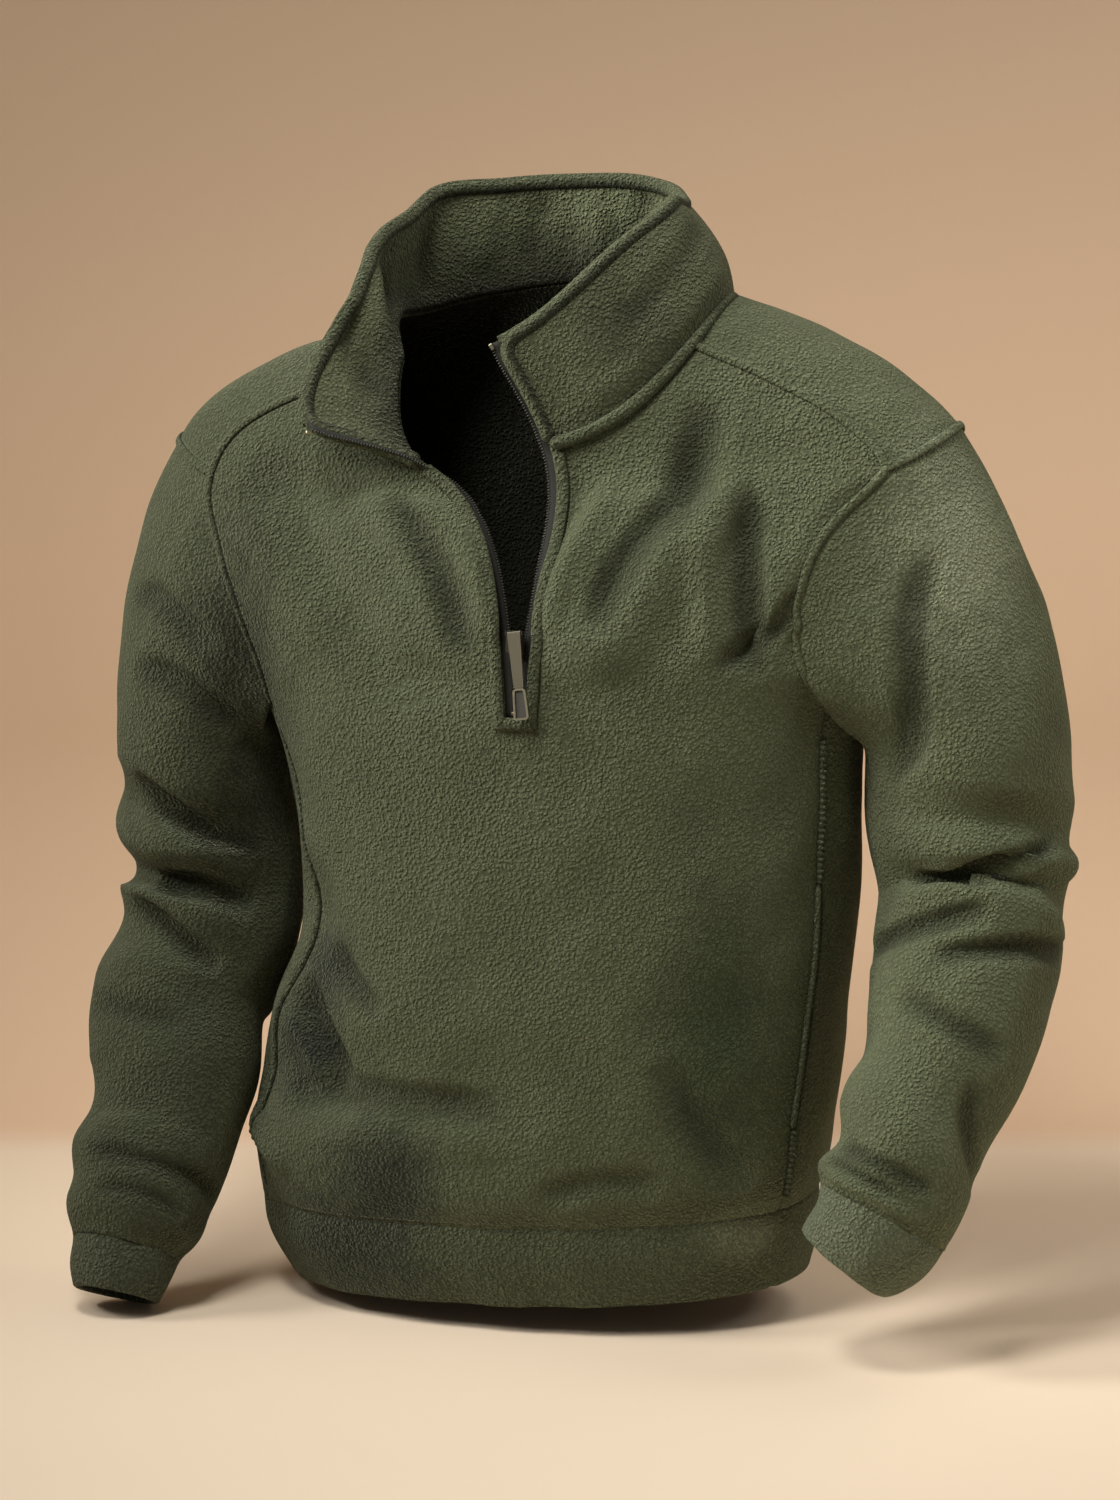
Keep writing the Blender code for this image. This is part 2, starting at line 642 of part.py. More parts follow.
# ---------------------------------------------------------------- zip
# The slit's foot is level with the underarm. A slider on the tapes carries the pull: a tab with a
# metal frame at its end, round a dark plate.
TAPE = 0.0009
TAPE_TUCK = 0.006  # how far a tape runs on behind the cloth
FRAME_WIDTH = 0.0085  # the strip of fleece that frames the slit
FRAME_STAND = 0.0020  # how far it stands out
FRAME_SHORT = 0.30  # its sides stop this share of a row short of the neck seam
SLIDER_ROWS = 1.60  # rows of the front from the foot of the slit up to the slider's pivot
SLIDER_REACH = 0.4  # rows from the pivot to the slider's far end
SLIDER = (0.0116, 0.0160, 0.0048)  # width, length, thickness
EAR = (0.0008, 0.0030, 0.0028)
TAB_WIDTHS = (0.0090, 0.0066)  # at the pivot and at the far end
TAB_LENGTH, TAB, TAB_CORNER = 0.0380, 0.0022, 0.0006
RING_WIDTHS = (0.0086, 0.0104)  # of the metal frame, at the tab and at the far end
RING_LENGTH, RING_BAR, RING, RING_CORNER = 0.0210, 0.0014, 0.0026, 0.0022
PULL_GAP = 0.0003  # between the pieces of the pull
INSERT = 0.0014
PULL_TILT = math.radians(8)  # the pull hangs a little towards the wearer's left
PULL_LEAN = math.radians(4)  # and stands off the cloth at its far end
PIVOT_ROUND = 0.42  # of its thickness: how far the tab's pivot end is rounded off
STOP = (0.0058, 0.0026, 0.0022)
STOP_ROWS = 0.1  # rows of the front from the foot of the slit up to the bottom stop
TOP_STOP = (0.0026, 0.0042, 0.0024)
TOP_STOP_INSET = (0.6, 0.7)  # shares of its width and length, in from the collar's corner
STOP_BEVEL = 0.0004


def strip_beside(edge, panel, out, near, far, lift):
    """Two columns of points beside the edge of a panel, near and far into it, raised by lift."""
    into = unit(panel - edge)
    raised = edge + out * lift
    return np.stack([raised + into * near, raised + into * far], axis=1)


def slit_edge(side, grid):
    """The column of the front beside the slit, and the next one in."""
    edge = grid.shape[1] // 2 - (0 if side > 0 else 1)
    return grid[:, edge], grid[:, edge + side]


def tape_grid(side, front, front_out, collar, collar_out):
    """The tape of one row of teeth, behind the cloth up the front and the collar's end."""
    edge, panel = (column[SIDE_ROWS:] for column in slit_edge(side, front))
    out = slit_edge(side, front_out)[0][SIDE_ROWS:]
    end, before = (-1, -2) if side > 0 else (0, 1)
    edge = np.concatenate([edge, collar[1:, end]])
    panel = np.concatenate([panel, collar[1:, before]])
    out = np.concatenate([out, collar_out[1:, end]])
    depth = np.full((len(edge), 1), DOUBLED + LAYER_GAP)
    depth[:FRONT_ARM_ROWS] = FLEECE + LAYER_GAP
    grid = strip_beside(edge, panel, out, TEETH_GAP - ZIP_HALF, TAPE_TUCK, -depth)
    return grid, np.stack([out, out], axis=1)


def frame_grid(front, front_out):
    """The fleece strip that frames the slit: up both sides, and across its foot."""

    def with_ends(column):
        foot = FRAME_WIDTH / np.linalg.norm(column[SIDE_ROWS] - column[SIDE_ROWS - 1])
        low = column[SIDE_ROWS] * (1 - foot) + column[SIDE_ROWS - 1] * foot
        high = column[-1] * (1 - FRAME_SHORT) + column[-2] * FRAME_SHORT
        return np.concatenate([[low], column[SIDE_ROWS:-1], [high]])

    lift = LAYER_GAP + FRAME_STAND
    sides, normals = [], []
    for side in (-1, 1):
        edge, panel = (with_ends(column) for column in slit_edge(side, front))
        out = unit(with_ends(slit_edge(side, front_out)[0]))
        strip = strip_beside(edge, panel, out, 0, FRAME_WIDTH, lift)
        sides.append(strip if side > 0 else strip[:, ::-1])
        normals.append(np.stack([out, out], axis=1))
    return np.concatenate(sides, axis=1), np.concatenate(normals, axis=1)


def axes(origin, across, out, tilt=0.0):
    """A frame with X across, Y up and Z out of the cloth, turned by tilt about Z."""
    out = Vector(out).normalized()
    across = Vector(across)
    across = (across - out * across.dot(out)).normalized()
    frame = Matrix((across, out.cross(across), out)).transposed().to_4x4()
    frame.translation = Vector(origin)
    return frame @ Matrix.Rotation(tilt, 4, "Z")


def block(name, size, frame, finish, bevel):
    """A bevelled block, centred on the frame across and up, and standing on its Z = 0 plane."""
    mesh = bmesh.new()
    bmesh.ops.create_cube(mesh, size=1)
    bmesh.ops.scale(mesh, vec=size, verts=mesh.verts)
    bmesh.ops.translate(mesh, vec=(0, 0, size[2] / 2), verts=mesh.verts)
    bevel_edges(mesh, mesh.edges[:], bevel)
    made = add(name, mesh, finish)
    made.matrix_world = frame
    return made


def bevel_edges(mesh, edges, width, segments=2):
    bmesh.ops.bevel(
        mesh, geom=edges, offset=width, segments=segments, affect="EDGES", profile=0.5, material=-1
    )


def plate(top_width, end_width, length, thickness, corner, start=0.0, corners=4):
    """A mesh of a tapering plate that hangs from Y = -start, its back at Z = 0.

    Its corners are round, or only this many of them, from its far end.
    """
    mesh = bmesh.new()
    outline = [
        (-top_width / 2, -start),
        (-end_width / 2, -start - length),
        (end_width / 2, -start - length),
        (top_width / 2, -start),
    ]
    face = mesh.faces.new([mesh.verts.new((x, y, 0)) for x, y in outline])
    made = bmesh.ops.extrude_face_region(mesh, geom=[face], use_keep_orig=True)
    top = [v for v in made["geom"] if isinstance(v, bmesh.types.BMVert)]
    bmesh.ops.translate(mesh, vec=(0, 0, thickness), verts=top)
    bmesh.ops.recalc_face_normals(mesh, faces=mesh.faces)
    upright = [e for e in mesh.edges if abs(e.verts[0].co.z - e.verts[1].co.z) > thickness / 2]
    upright.sort(key=lambda edge: edge.verts[0].co.y)
    bevel_edges(mesh, upright[:corners], corner, 3)
    return mesh


def slider(frame):
    """The slider, with two ears that hold the pull's pivot."""
    width, length, thickness = SLIDER
    cuts_x = (-width / 2, EAR[0] - width / 2, width / 2 - EAR[0], width / 2)
    cuts_y = (-length + EAR[1], -EAR[1] / 2, EAR[1] / 2)
    mesh = bmesh.new()
    bmesh.ops.create_grid(mesh, x_segments=3, y_segments=2, size=1)
    for vert in mesh.verts:
        vert.co = (cuts_x[round((vert.co.x + 1) * 1.5)], cuts_y[round(vert.co.y + 1)], 0)
    made = bmesh.ops.extrude_face_region(mesh, geom=mesh.faces[:], use_keep_orig=True)
    low = [v for v in made["geom"] if isinstance(v, bmesh.types.BMVert)]
    bmesh.ops.translate(mesh, vec=(0, 0, -thickness), verts=low)
    bmesh.ops.recalc_face_normals(mesh, faces=mesh.faces)
    ears = []
    for face in mesh.faces:
        middle = face.calc_center_median()
        if face.normal.z > 0.9 and middle.y > -EAR[1] / 2 and abs(middle.x) > width / 2 - EAR[0]:
            ears.append(face)
    made = bmesh.ops.extrude_discrete_faces(mesh, faces=ears)
    top = {vert for face in made["faces"] for vert in face.verts}
    bmesh.ops.translate(mesh, vec=(0, 0, EAR[2]), verts=list(top))
    made = add("zip_slider", mesh, "slider_metal")
    made.matrix_world = frame
    return made


def pull(pivot):
    """The tab, its metal frame and the dark plate in it, hanging from the slider's pivot."""
    hinge = bpy.data.objects.new("pull_hinge", None)
    hinge.matrix_world = pivot
    bpy.context.scene.collection.objects.link(hinge)
    tab = plate(*TAB_WIDTHS, TAB_LENGTH, TAB, TAB_CORNER, start=-TAB / 2, corners=2)
    pivot_end = []
    for edge in tab.edges:
        a, b = (vert.co for vert in edge.verts)
        if min(a.y, b.y) > 0 and abs(a.z - b.z) < TAB / 2:
            pivot_end.append(edge)
    bevel_edges(tab, pivot_end, TAB * PIVOT_ROUND, 3)
    start = TAB_LENGTH - TAB / 2 + PULL_GAP
    ring = plate(*RING_WIDTHS, RING_LENGTH, RING, RING_CORNER, start=start)
    flat = [face for face in ring.faces if abs(face.normal.z) > 0.9]
    bmesh.ops.inset_region(ring, faces=flat, thickness=RING_BAR, use_even_offset=True)
    rim = [edge for face in flat for edge in face.edges]
    bmesh.ops.delete(ring, geom=flat, context="FACES_ONLY")
    bmesh.ops.bridge_loops(ring, edges=rim)
    bmesh.ops.recalc_face_normals(ring, faces=ring.faces)
    room = RING_BAR + PULL_GAP
    widths = [width - 2 * room for width in RING_WIDTHS]
    length = RING_LENGTH - 2 * room
    insert = plate(*widths, length, INSERT, RING_CORNER - RING_BAR / 2, start=start + room)
    for name, mesh, finish in (
        ("zip_pull", tab, "pull_body"),
        ("pull_frame", ring, "pull_metal"),
        ("pull_insert", insert, "zip_tape"),
    ):
        made = add(name, mesh, finish)
        made.parent = hinge
        made.matrix_basis = Matrix.Translation((0, 0, -TAB / 2))


def between_tapes(tapes, rows):
    """The place between the rows of teeth this many rows up, and the directions across and out there."""
    row = int(rows)
    share = rows - row
    level = [tape[row] * (1 - share) + tape[row + 1] * share for tape in tapes.values()]
    edges, backs = zip(*level)
    along = sum(tape[row + 1, 0] - tape[row, 0] for tape in tapes.values())
    across = unit(backs[0] - backs[1])
    out = unit(np.cross(across, along))
    middle = (edges[0] + edges[1]) / 2
    high = max((place - middle) @ out for place in (*edges, *backs))
    return middle + out * high, across, out


def zip_pieces(front, front_out, collar, collar_out):
    tapes = {}
    for side, name in ((1, "left"), (-1, "right")):
        grid, out = tape_grid(side, front, front_out, collar, collar_out)
        cloth(f"zip_tape_{name}", grid, out, TAPE, "zip_tape")
        tapes[side] = grid
        tip, below, back = grid[-1, 0], grid[-2, 0], grid[-1, 1]
        inset_x, inset_y = np.multiply(TOP_STOP[:2], TOP_STOP_INSET)
        inset = unit(back - tip) * inset_x + unit(below - tip) * inset_y
        frame = axes(tip + inset + out[-1, 0] * LAYER_GAP, (back - tip) * side, out[-1, 0])
        block(f"zip_top_stop_{name}", TOP_STOP, frame, "pull_metal", STOP_BEVEL)
    grid, out = frame_grid(front, front_out)
    slot = {(row, 1) for row in range(1, len(grid) - 1)}
    cloth("zip_frame", grid, out, FRAME_STAND, "fleece_trim", cut=slot)

    foot, across, out = between_tapes(tapes, STOP_ROWS)
    stop = axes(foot + out * LAYER_GAP, across, out)
    block("zip_bottom_stop", STOP, stop, "pull_metal", STOP_BEVEL)
    top, across, out = between_tapes(tapes, SLIDER_ROWS)
    below = between_tapes(tapes, SLIDER_ROWS - SLIDER_REACH)[0]
    out = unit(out - unit(top - below) * (out @ unit(top - below)))
    seat = axes(top + out * (LAYER_GAP + SLIDER[2]), across, out)
    slider(seat)
    hang = Matrix.Rotation(PULL_TILT, 4, "Z") @ Matrix.Rotation(-PULL_LEAN, 4, "X")
    pull(seat @ Matrix.Translation((0, 0, LAYER_GAP + TAB / 2)) @ hang)


# ---------------------------------------------------------------- assembly
def build():
    rights, lefts = -1, 1
    halves = {side: front_half(side) for side in (rights, lefts)}
    backs = {side: back_half(side) for side in (rights, lefts)}
    front_places = np.concatenate([halves[rights], halves[lefts][:, ::-1]], axis=1)
    back_places = np.concatenate([backs[lefts], backs[rights][:, -2::-1]], axis=1)
    front = torso(front_places[..., 0], front_places[..., 1])
    front_out = facing(torso, front_places[..., 0], front_places[..., 1])
    back = torso(back_places[..., 0], back_places[..., 1])
    back_out = facing(torso, back_places[..., 0], back_places[..., 1])

    # Sleeves, from the armholes.
    sleeves = {}
    edges = {}
    for side, name in ((lefts, "left"), (rights, "right")):
        loop = armhole(side)
        seam = torso(loop[:, 0], loop[:, 1])
        grid = sleeve_grid(side, seam)
        out = away_from_middle(grid, grid_normals(grid, closed=True))
        shared = mitre(facing(torso, loop[:, 0], loop[:, 1]), out[0])
        out[0] = shared
        edges[side] = shared
        sleeves[side] = (name, seam, grid, out)
    corner = UNDERARM_COLUMNS
    top_of_front = corner + FRONT_ARM_ROWS
    for side in (rights, lefts):
        shared = edges[side]
        front_edge = shared[corner : top_of_front + 1]
        back_edge = np.concatenate([shared[:1], shared[top_of_front:][::-1]])
        under = shared[: corner + 1]
        column = 0 if side == rights else -1
        front_out[SIDE_ROWS:, column] = front_edge
        back_column = corner if side == lefts else -1 - corner
        back_out[SIDE_ROWS:, back_column] = back_edge
        if side == lefts:
            back_out[SIDE_ROWS, : corner + 1] = under[::-1]
        else:
            back_out[SIDE_ROWS, -1 - corner :] = under

    # Collar, from the neck seam.
    neck_columns = slice(SHOULDER_COLUMNS, None)
    right_neck = halves[rights][-1][neck_columns][::-1]
    left_neck = halves[lefts][-1][neck_columns]
    back_neck = back_places[-1][corner + SHOULDER_COLUMNS : -corner - SHOULDER_COLUMNS][::-1]
    neck = np.concatenate([right_neck, back_neck[1:-1], left_neck])
    turn = np.degrees(np.unwrap(np.radians(neck[:, 0])))
    neck_seam = torso(neck[:, 0], neck[:, 1])
    collar = collar_grid(neck_seam, turn)
    collar_out = grid_normals(collar, closed=False)
    shared = mitre(facing(torso, neck[:, 0], neck[:, 1]), collar_out[0])
    collar_out[0] = shared
    count = FRONT_NECK_COLUMNS
    front_out[-1, SHOULDER_COLUMNS : SHOULDER_COLUMNS + count + 1] = shared[: count + 1][::-1]
    front_out[-1, -1 - SHOULDER_COLUMNS - count : -SHOULDER_COLUMNS] = shared[-count - 1 :][::-1]
    back_out[-1, corner + SHOULDER_COLUMNS : -corner - SHOULDER_COLUMNS] = shared[count:-count][::-1]

    middle = front.shape[1] // 2
    for name, rows, columns in (
        ("lower", slice(SIDE_ROWS + 1), slice(None)),
        ("upper_right", slice(SIDE_ROWS, None), slice(middle)),
        ("upper_left", slice(SIDE_ROWS, None), slice(middle, None)),
    ):
        cloth(f"front_{name}", front[rows, columns], front_out[rows, columns], FLEECE, "fleece")
    middle = back.shape[1] // 2
    last = back.shape[1] - corner
    for name, rows, columns in (
        ("lower_left", slice(SIDE_ROWS + 1), slice(middle + 1)),
        ("lower_right", slice(SIDE_ROWS + 1), slice(middle, None)),
        ("upper_left", slice(SIDE_ROWS, None), slice(corner, middle + 1)),
        ("upper_right", slice(SIDE_ROWS, None), slice(middle, last)),
    ):
        cloth(f"back_{name}", back[rows, columns], back_out[rows, columns], FLEECE, "fleece")
    for side in (lefts, rights):
        name, seam, grid, out = sleeves[side]
        cuff = cuff_grid(side, seam)
        cuff_out = away_from_middle(cuff, grid_normals(cuff, closed=True))
        out[-1] = cuff_out[0] = mitre(out[-1], cuff_out[0])
        bend = (CAP_ROWS + ELBOW_ROW) // 2
        ends = [0, CAP_ROWS // 2, CAP_ROWS, bend, ELBOW_ROW, len(grid) - 1]
        for part, start, end in zip(SLEEVE_PARTS, ends, ends[1:]):
            rows = slice(start, end + 1)
            cloth(f"sleeve_{name}_{part}", grid[rows], out[rows], FLEECE, "fleece", closed=True)
        cloth(f"cuff_{name}", cuff, cuff_out, DOUBLED, "fleece_trim", closed=True)
    cloth("collar", collar, collar_out, DOUBLED, "fleece_trim")

    hem = np.concatenate([front[0], back[0][1:-1]])
    hem_out = np.concatenate([front_out[0], back_out[0][1:-1]])
    band = band_grid(hem)
    band_out = away_from_middle(band, grid_normals(band, closed=True))
    band_out[0] = hem_out
    cloth("hem_band", band, band_out, DOUBLED, "fleece_trim", closed=True)
    zip_pieces(front, front_out, collar, collar_out)


for found in list(bpy.data.objects):
    bpy.data.objects.remove(found)
build()
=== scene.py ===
"""Looks of the half-zip fleece pullover, on the frame of its solids.

Every soft piece is drawn again as fine cloth on the form of its solid: the front, back, sleeves,
collar, hem band, cuffs, zip frame and tapes. The metal pieces keep their solids. Everything is in
metres, and "left" and "right" are the wearer's.
"""

import math

import bmesh
import bpy
import numpy as np
from mathutils import Matrix, Vector
from mathutils.bvhtree import BVHTree


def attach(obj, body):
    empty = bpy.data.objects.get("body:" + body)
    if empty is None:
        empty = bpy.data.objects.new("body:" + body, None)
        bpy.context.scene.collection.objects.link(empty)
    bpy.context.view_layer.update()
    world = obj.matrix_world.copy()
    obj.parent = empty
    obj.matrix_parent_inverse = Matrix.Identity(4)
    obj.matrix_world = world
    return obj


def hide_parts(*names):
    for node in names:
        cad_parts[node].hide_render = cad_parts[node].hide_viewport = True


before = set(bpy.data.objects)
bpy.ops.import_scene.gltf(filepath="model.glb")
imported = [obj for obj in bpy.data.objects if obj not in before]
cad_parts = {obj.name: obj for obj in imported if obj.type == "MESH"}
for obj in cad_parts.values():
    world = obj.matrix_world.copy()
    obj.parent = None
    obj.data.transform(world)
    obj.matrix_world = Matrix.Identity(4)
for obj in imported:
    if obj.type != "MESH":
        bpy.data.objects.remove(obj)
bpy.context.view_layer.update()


# ================ front
# The front panel: fleece from the hem seam up to the shoulders and the neck, slit down the middle
# for the zip. Its big folds are the solid's, and finer creases and the sunk seams are added here.
FLEECE, DOUBLED = 0.0026, 0.0048  # how thick one layer and two layers are
RIGHT, LEFT = -1, 1
SIDES = {LEFT: "left", RIGHT: "right"}
TORSO_RADIUS = 0.168
SQUARENESS = 2.25
FINE = 8  # cells of cloth here for each cell of the solid
SIDE_ROWS, FRONT_ARM_ROWS, BACK_ARM_ROWS = 12 * FINE, 7 * FINE, 10 * FINE
UNDERARM_COLUMNS, SHOULDER_COLUMNS = 2 * FINE, 5 * FINE
FRONT_NECK_COLUMNS, BACK_NECK_COLUMNS = 3 * FINE, 5 * FINE
CAP_ROWS, ARM_ROWS, COLLAR_ROWS, BAND_ROWS = 6 * FINE, 15 * FINE, 3 * FINE, 2 * FINE


def table(text):
    """A dict of named columns, from a line of names and lines of numbers."""
    names, *rows = text.strip().splitlines()
    return dict(zip(names.split(), np.array([row.split() for row in rows], float).T))


def smooth(knots, values, at):
    """A cubic curve through the rows of a table, read at one place or at many."""
    at = np.asarray(at, float)
    step = np.diff(values) / np.diff(knots)
    slope = np.concatenate([step[:1], (step[:-1] + step[1:]) / 2, step[-1:]])
    i = np.clip(np.searchsorted(knots, at) - 1, 0, len(knots) - 2)
    width = knots[i + 1] - knots[i]
    f = (at - knots[i]) / width
    rise = values[i] + (values[i + 1] - values[i]) * f * f * (3 - 2 * f)
    return rise + width * f * (1 - f) * (slope[i] * (1 - f) - slope[i + 1] * f)


def curves(rows, at):
    """The other columns of a table as curves along its first column."""
    (_, knots), *others = rows.items()
    return {name: smooth(knots, column, at) for name, column in others}


def unit(vectors):
    return vectors / np.maximum(np.linalg.norm(vectors, axis=-1, keepdims=True), 1e-12)


def run_along(path):
    """How far along a path each of its points is."""
    return np.concatenate([[0], np.cumsum(np.linalg.norm(np.diff(path, axis=0), axis=1))])


def taken(path, run, at):
    """The places on a path at these distances along it."""
    return np.stack([np.interp(at, run, column) for column in path.T], axis=1)


def evenly(points, count):
    """count + 1 places at even distances along a smooth curve through a few points."""
    knots = np.arange(len(points), dtype=float)
    fine = np.linspace(0, knots[-1], 400 * len(points))
    curve = np.stack([smooth(knots, column, fine) for column in np.transpose(points)], axis=1)
    run = run_along(curve * [math.radians(TORSO_RADIUS), 1])
    return taken(curve, run, np.linspace(0, run[-1], count + 1))


def blend(a, b, count):
    share = np.linspace(0, 1, count + 1)[:, None]
    return np.asarray(a, float) * (1 - share) + np.asarray(b, float) * share


def placed(turn, height):
    """Turns and heights as one array of places."""
    return np.stack(np.broadcast_arrays(turn, height), axis=-1).astype(float)


# The body's level sections: height at the side, half width, depth each way, middle, how much the
# front and the back rise above the side, and how far the section tilts.
TORSO = table("""
  side  wide front  back      x     y front_rise back_rise  tilt
-0.622 0.199 0.128 0.116 -0.014     0          0         0 0.040
-0.604 0.202 0.135 0.122 -0.011     0          0         0 0.034
-0.567 0.206 0.139 0.125 -0.010     0          0         0 0.022
-0.489 0.204 0.139 0.124      0     0          0         0 0.010
-0.435 0.197 0.138 0.121  0.013     0          0         0 0.010
-0.345 0.200 0.140 0.122  0.013     0          0         0 0.010
-0.270 0.213 0.143 0.126  0.005     0          0         0 0.014
-0.200 0.250 0.138 0.128  0.005     0     -0.005     0.004 0.024
-0.143 0.274 0.126 0.124  0.004 0.002     -0.018     0.010 0.026
-0.095 0.280 0.112 0.116  0.003 0.004     -0.038     0.018 0.026
-0.058 0.248 0.104 0.106 -0.003 0.004     -0.060     0.020 0.028
-0.028 0.197 0.102 0.092 -0.002 0.004     -0.084     0.020 0.036
     0 0.118 0.102 0.078  0.004 0.004     -0.096     0.014 0.060
""")
HEM, NECK = TORSO["side"][0], TORSO["side"][-1]
SIDE_SEAM, BACK_CORNER, BACK_MIDDLE = 24.0, -14.0, -90.0
UNDERARM = -0.270
SHOULDER_END, SHOULDER_NECK = (35.0, -0.098), (34.0, NECK)
FRONT_ARMHOLE = {
    LEFT: [(SIDE_SEAM, UNDERARM), (38, -0.240), (45, -0.200), (47, -0.160), (43.5, -0.128), SHOULDER_END],
    RIGHT: [(SIDE_SEAM, UNDERARM), (28.5, -0.240), (32.5, -0.200), (34, -0.160), (34, -0.128), SHOULDER_END],
}
BACK_ARMHOLE = [(BACK_CORNER, UNDERARM), (-28, -0.240), (-33, -0.190), (-31, -0.140), (-23, -0.104)]
BACK_ARMHOLE += [(-8, -0.088), (10, -0.088), SHOULDER_END]
# Broad folds from one place to another, with their half width and how far they stand out.
TORSO_FOLDS = table("""
turn_a height_a turn_b height_b reach   lift
   150   -0.420    128   -0.520 0.036 -0.010
   156   -0.535     96   -0.525 0.032 -0.006
   160   -0.580    120   -0.575 0.034  0.006
   104   -0.100     99   -0.215 0.022  0.010
   122   -0.090    108   -0.230 0.030 -0.009
    70   -0.100     80   -0.215 0.024  0.009
    52   -0.080     66   -0.190 0.034 -0.007
    40   -0.130     41   -0.215 0.020 -0.007
   -50   -0.330   -120   -0.350 0.034 -0.007
   -35   -0.470    -95   -0.490 0.036 -0.007
  -145   -0.400    -95   -0.440 0.034 -0.006
   -40   -0.160    -62   -0.250 0.030 -0.006
  -140   -0.160   -118   -0.250 0.030 -0.006
""")


def level(turn, height):
    """A point on the plain form of the torso, with no folds."""
    turn, height = np.broadcast_arrays(np.radians(turn), np.asarray(height, float))
    form = curves(TORSO, height)
    c, s = np.cos(turn), np.sin(turn)
    depth = np.where(s > 0, form["front"], form["back"])
    rise = np.where(s > 0, form["front_rise"], form["back_rise"])
    x = form["x"] + form["wide"] * np.sign(c) * np.abs(c) ** (2 / SQUARENESS)
    y = form["y"] - depth * np.sign(s) * np.abs(s) ** (2 / SQUARENESS)
    return np.stack([x, y, height + rise * s * s + form["tilt"] * form["wide"] * c], axis=-1)


def facing(surface, turn, height):
    """The outward normal of a surface that is a function of turn and height."""
    small_turn, small_rise = 0.5, 0.001
    over = surface(turn + small_turn, height) - surface(turn - small_turn, height)
    up = surface(turn, height + small_rise) - surface(turn, height - small_rise)
    return unit(np.cross(up, over))


def raised(points, normals, lift):
    return points + normals * lift[..., None]


def fold_lift(turn, height):
    total = np.zeros(np.broadcast(turn, height).shape)
    for turn_a, height_a, turn_b, height_b, reach, lift in zip(*TORSO_FOLDS.values()):
        run = np.array([math.radians(turn_b - turn_a) * TORSO_RADIUS, height_b - height_a])
        across = np.radians((turn - turn_a + 180) % 360 - 180) * TORSO_RADIUS
        rise = height - height_a
        share = np.clip((across * run[0] + rise * run[1]) / (run @ run), 0, 1)
        off = np.hypot(across - share * run[0], rise - share * run[1]) / (1.6 * reach)
        total = total + lift * (1 - np.clip(off, 0, 1) ** 2) ** 2
    return total


def torso(turn, height):
    """A point on the outer face of the torso, with its largest folds."""
    turn, height = np.broadcast_arrays(np.asarray(turn, float), np.asarray(height, float))
    return raised(level(turn, height), facing(level, turn, height), fold_lift(turn, height))


def turn_at(height, across):
    wide = smooth(TORSO["side"], TORSO["wide"], height)
    c = np.sign(across) * (np.abs(across) / wide) ** (SQUARENESS / 2)
    return np.degrees(np.arccos(c))


def on_side(turn, side):
    return turn if side > 0 else 180 - turn


def to_side(places, side):
    """Places of the left half carried to this side."""
    return np.stack([on_side(places[..., 0], side), places[..., 1]], axis=-1)


NECK_ENDS = {LEFT: NECK, RIGHT: -0.019}
SLIT = table("""
height  left right
-0.214     0     0
-0.170 0.008 0.009
-0.120 0.016 0.018
-0.080 0.020 0.026
-0.040 0.021 0.042
     0 0.016 0.062
""")
ZIP_HALF = 0.0065
TEETH_GAP, LAYER_GAP = 0.00025, 0.0008


def zip_line(side, height, beyond):
    curve = smooth(SLIT["height"], SLIT[SIDES[side]], height)
    spread = np.where(height < SLIT["height"][0], 0.0, curve)
    return turn_at(height, side * (spread + beyond))


def patch(outer, inner, top):
    """A grid of turn and height between an outer edge, an inner edge and a top edge."""
    rows, columns = len(outer) - 1, len(top) - 1
    share = np.linspace(0, 1, columns + 1)[None, :, None]
    grid = outer[:, None] * (1 - share) + inner[:, None] * share
    pull = np.clip((np.arange(rows + 1) - SIDE_ROWS) / (rows - SIDE_ROWS), 0, 1)
    straight = top[0] * (1 - share[0]) + top[-1] * share[0]
    return grid + pull[:, None, None] * (top - straight)


def stacked(lower, upper):
    return np.concatenate([lower[:-1], upper])


def edge_up(turn, upper):
    """An edge that rises plumb from the hem to the underarm and goes on along another path."""
    return stacked(placed(turn, np.linspace(HEM, UNDERARM, SIDE_ROWS + 1)), upper)


def edge_over(neck_end, columns):
    """The top edge of half a panel: along the shoulder, and along the neck to its end."""
    shoulder = blend(SHOULDER_END, SHOULDER_NECK, SHOULDER_COLUMNS)
    return stacked(shoulder, blend(SHOULDER_NECK, neck_end, columns))


def front_half(side):
    """The left or right half of the front, from its side seam in to the slit."""
    outer = edge_up(SIDE_SEAM, evenly(FRONT_ARMHOLE[side], FRONT_ARM_ROWS))
    low = np.linspace(HEM, UNDERARM, SIDE_ROWS + 1)
    heights = stacked(low, np.linspace(UNDERARM, NECK, FRONT_ARM_ROWS + 1))
    last = np.clip((np.arange(len(heights)) - len(heights) + 1 + FINE) / FINE, 0, 1)
    heights = heights + (NECK_ENDS[side] - NECK) * last
    inner = placed(on_side(zip_line(side, heights, ZIP_HALF), side), heights)
    return to_side(patch(outer, inner, edge_over(inner[-1], FRONT_NECK_COLUMNS)), side)


